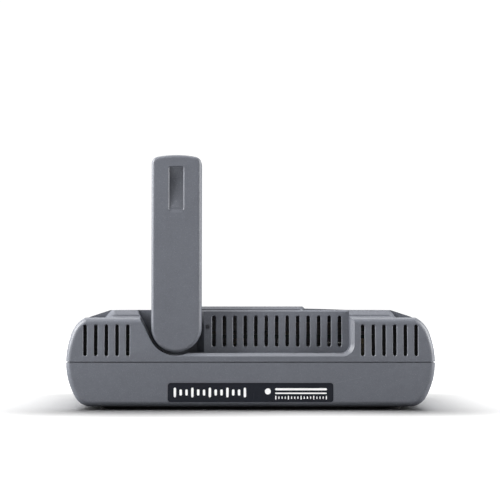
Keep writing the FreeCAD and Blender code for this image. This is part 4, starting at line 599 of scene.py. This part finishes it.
# ------------------------------------------------------------------ circuit boards
# The main board, the antenna board and the strip inside the blade are glass-fibre laminate under a
# green solder mask. Copper tracks run under the mask as slightly raised, paler lines.
def solder_mask():
    material, tree, shader = new_material("solder_mask", (0.012, 0.085, 0.035), roughness=0.3)
    here = object_coordinates(tree)
    tracks = add_node(tree, "ShaderNodeTexBrick", {
        "Vector": here, "Scale": 260.0, "Mortar Size": 0.035, "Color1": (0.0, 0.0, 0.0, 1.0),
        "Color2": (0.25, 0.25, 0.25, 1.0), "Mortar": (1.0, 1.0, 1.0, 1.0)})
    weave = noise(tree, stretched(tree, here, 1800.0, 1800.0, 200.0), 1.0, 2.0, 0.5)
    track = add_node(tree, "ShaderNodeSeparateColor", {"Color": tracks})
    base = colour_between(tree, weave, (0.009, 0.066, 0.027), (0.015, 0.098, 0.042))
    tree.links.new(colour_between(tree, track, base, (0.030, 0.160, 0.062)), shader.inputs["Base Color"])
    tree.links.new(value_between(tree, weave, 0.22, 0.36), shader.inputs["Roughness"])
    add_bump(tree, shader, track, 0.02 * MM)
    return material


finish_nodes(solder_mask(), "main_board", "antenna_board", "blade_board")


# ------------------------------------------------------------------ aerials
# Two blocks of unglazed ceramic with faces of fired silver look at the sky from the antenna board, and
# the blade holds a radiator of etched copper foil.
def fired_ceramic():
    material, tree, shader = new_material("fired_ceramic", (0.66, 0.58, 0.45), roughness=0.7)
    here = object_coordinates(tree)
    pore = noise(tree, here, 3000.0, 4.0, 0.7)
    cloud = noise(tree, here, 160.0, 3.0, 0.5)
    base = colour_between(tree, cloud, (0.60, 0.52, 0.40), (0.72, 0.65, 0.52))
    tree.links.new(colour_between(tree, step_between(tree, pore, 0.62, 0.8), base, (0.42, 0.35, 0.26)),
                   shader.inputs["Base Color"])
    tree.links.new(value_between(tree, pore, 0.6, 0.85), shader.inputs["Roughness"])
    add_bump(tree, shader, pore, 0.02 * MM)
    return material


finish_nodes(fired_ceramic(), "position_patch", "satellite_patch")
fired_silver = worked_metal("fired_silver", (0.72, 0.71, 0.67), roughness=(0.38, 0.55),
                            lines=(900.0, 900.0, 900.0), stain=0.3, tarnish=(0.40, 0.34, 0.24))
finish_nodes(fired_silver, "patch_electrodes")
copper_foil = worked_metal("copper_foil", (0.72, 0.36, 0.20), roughness=(0.3, 0.45),
                           lines=(600.0, 600.0, 3000.0), stain=0.35, tarnish=(0.35, 0.15, 0.09))
finish_nodes(copper_foil, "blade_radiator")


# ------------------------------------------------------------------ shields, pillars and hinge bush
# Tinned cans shield the receivers on the main board. Turned brass pillars carry the antenna board, and
# the blade's shaft runs in a flanged bush of bearing bronze.
tinplate = worked_metal("tinplate", (0.60, 0.60, 0.57), lines=(4000.0, 500.0, 4000.0), stain=0.25)
finish_nodes(tinplate, "shield_cans")
turned_brass = worked_metal("turned_brass", (0.74, 0.56, 0.26), lines=(500.0, 500.0, 6000.0), stain=0.2,
                            tarnish=(0.36, 0.24, 0.10))
finish_nodes(turned_brass, "board_standoffs")
bearing_bronze = worked_metal("bearing_bronze", (0.54, 0.34, 0.17), lines=(500.0, 6000.0, 500.0), stain=0.3,
                              tarnish=(0.24, 0.13, 0.07))
finish_nodes(bearing_bronze, "hinge_bush")


# ------------------------------------------------------------------ coaxial sockets and leads
# Three push-on sockets in the back have gold-plated barrels round white insulators and gold contacts.
# Leads with a smooth black jacket join the blade to the board, and the battery to its plug.
gold_plate = worked_metal("gold_plate", (0.84, 0.61, 0.24), roughness=(0.16, 0.28),
                          lines=(500.0, 5000.0, 500.0), stain=0.12, tarnish=(0.45, 0.28, 0.10))
finish_nodes(gold_plate, "position_jack", "satellite_jack", "traffic_jack", "jack_contacts", "coax_plug")
lead_jacket = moulded_plastic("lead_jacket", (0.022, 0.022, 0.025), contrast=0.15, gloss=(0.3, 0.42),
                              dust=0.0)
finish_nodes(lead_jacket, "hinge_coax", "blade_coax", "battery_lead")


# ------------------------------------------------------------------ battery
# A lithium pouch in silvery laminated foil lies on a pad of black closed-cell foam between low ribs in
# the bottom of the case.
pouch_foil = worked_metal("pouch_foil", (0.40, 0.41, 0.44), roughness=(0.3, 0.5), lines=(220.0, 220.0, 220.0),
                          stain=0.1, depth=0.05 * MM)
finish_nodes(pouch_foil, "battery_pack")


def closed_cell_foam():
    material, tree, shader = new_material("closed_cell_foam", (0.03, 0.03, 0.03), roughness=0.9)
    cell = add_node(tree, "ShaderNodeTexVoronoi", {"Vector": object_coordinates(tree), "Scale": 2600.0})
    tree.links.new(colour_between(tree, cell, (0.012, 0.012, 0.012), (0.055, 0.055, 0.055)),
                   shader.inputs["Base Color"])
    tree.links.new(value_between(tree, cell, 0.95, 0.8), shader.inputs["Roughness"])
    add_bump(tree, shader, cell, 0.08 * MM)
    return material


finish_nodes(closed_cell_foam(), "battery_foam")


# ------------------------------------------------------------------ stage
# A pale floor that grows brighter away from the case, so that only a contact shadow is left round it, and
# a white surround. One broad light hangs overhead; three softboxes light the object and not the floor.
FLOOR_REACH = 1.2
SHADOW_FROM, SHADOW_TO = 4.0 * MM, 50.0 * MM      # where the glow starts and is full, beside the case
FLOOR_GLOW = 0.8
GLOW_ON_OBJECT, GLOW_SEEN = 0.25, 1.0


def make_floor():
    """Pale floor; what the camera sees of it is lighter than what it throws back on the object."""
    mesh = bpy.data.meshes.new("floor")
    corners = [(x * FLOOR_REACH, y * FLOOR_REACH, 0) for x, y in ((-1, -1), (1, -1), (1, 1), (-1, 1))]
    mesh.from_pydata(corners, [], [(0, 1, 2, 3)])
    floor = bpy.data.objects.new("floor", mesh)
    bpy.context.scene.collection.objects.link(floor)
    material, tree, shader = new_material("floor_white", (0.9, 0.9, 0.9), roughness=0.8, specular=0.0)
    seen = tree.nodes.new("ShaderNodeLightPath").outputs["Is Camera Ray"]
    tree.links.new(colour_between(tree, seen, (0.80, 0.80, 0.80), (0.98, 0.98, 0.98)),
                   shader.inputs["Base Color"])
    here = add_node(tree, "ShaderNodeVectorMath", {0: object_coordinates(tree)}, operation="ABSOLUTE")
    here = add_node(tree, "ShaderNodeVectorMath", {0: here, 1: (cad_box[1].x, cad_box[1].y, 0)},
                    operation="SUBTRACT")
    here = add_node(tree, "ShaderNodeVectorMath", {0: here, 1: (0, 0, 0)}, operation="MAXIMUM")
    distance = tree.nodes.new("ShaderNodeVectorMath")
    distance.operation = "LENGTH"
    tree.links.new(here, distance.inputs[0])
    glow = step_between(tree, distance.outputs["Value"], SHADOW_FROM, SHADOW_TO)
    glow = math_node(tree, "MULTIPLY", glow, value_between(tree, seen, GLOW_ON_OBJECT, GLOW_SEEN))
    tree.links.new(colour_between(tree, glow, (0, 0, 0), (1, 1, 1)), shader.inputs["Emission Color"])
    shader.inputs["Emission Strength"].default_value = FLOOR_GLOW
    mesh.materials.append(material)
    return floor


def area_light(name, place, target, size, power):
    """Square light in metres and watts, turned from its place to its target."""
    light = bpy.data.lights.new(name, "AREA")
    light.shape, light.size, light.energy = "SQUARE", size, power
    lamp = bpy.data.objects.new(name, light)
    lamp.location = place
    lamp.rotation_euler = (Vector(target) - Vector(place)).to_track_quat("-Z", "Y").to_euler()
    bpy.context.scene.collection.objects.link(lamp)
    return lamp


softbox_receivers = bpy.data.collections.new("softbox_receivers")
softbox_receivers.objects.link(make_floor())
softbox_receivers.collection_objects[0].light_linking.link_state = "EXCLUDE"
area_light("overhead", (-0.05, 0.50, 1.10), (0, 0, 0.0), size=1.2, power=12.5)
for softbox in (
        area_light("left_softbox", (-0.54, -0.13, 0.29), (0, 0, 0.03), size=0.42, power=11.5),
        area_light("right_softbox", (0.55, -0.11, 0.24), (0, 0, 0.03), size=0.4, power=7.5),
        area_light("front_softbox", (-0.22, -0.20, 0.26), (0, 0, 0.07), size=0.16, power=0.42)):
    softbox.light_linking.receiver_collection = softbox_receivers


# ------------------------------------------------------------------ surround
# A plain white surround closes the scene behind the object. It is bright only where the camera sees it,
# and what it throws on the object is faint, so that the lamps alone model the shapes.
SURROUND_ON_OBJECT, SURROUND_SEEN = 0.18, 1.05
world = bpy.data.worlds.new("white_surround")
world.use_nodes = True
surround = world.node_tree
background = surround.nodes["Background"]
background.inputs["Color"].default_value = (1, 1, 1, 1)
seen_direct = surround.nodes.new("ShaderNodeLightPath").outputs["Is Camera Ray"]
surround.links.new(value_between(surround, seen_direct, SURROUND_ON_OBJECT, SURROUND_SEEN),
                   background.inputs["Strength"])
bpy.context.scene.world = world
bpy.context.scene.view_settings.view_transform = "Standard"


# ------------------------------------------------------------------ camera
# It stands square in front of the case, half a metre away and level with its top, and is tilted slightly
# upwards, so that the blade and the case both fit in a square picture.
CAMERA_ASIDE = -0.18 * MM
CAMERA_DISTANCE = 450.0 * MM
CAMERA_HEIGHT = 33.5 * MM
CAMERA_PITCH = 2.458       # degrees above level
camera_data = bpy.data.cameras.new("camera")
camera_data.lens = 98.15
camera_data.sensor_width = 36.0
camera_data.clip_start, camera_data.clip_end = 0.02, 20.0
camera = bpy.data.objects.new("camera", camera_data)
camera.location = (CAMERA_ASIDE, cad_box[0].y - CAMERA_DISTANCE, CAMERA_HEIGHT)
camera.rotation_euler = (math.radians(90 + CAMERA_PITCH), 0, 0)
bpy.context.scene.collection.objects.link(camera)
bpy.context.scene.camera = camera
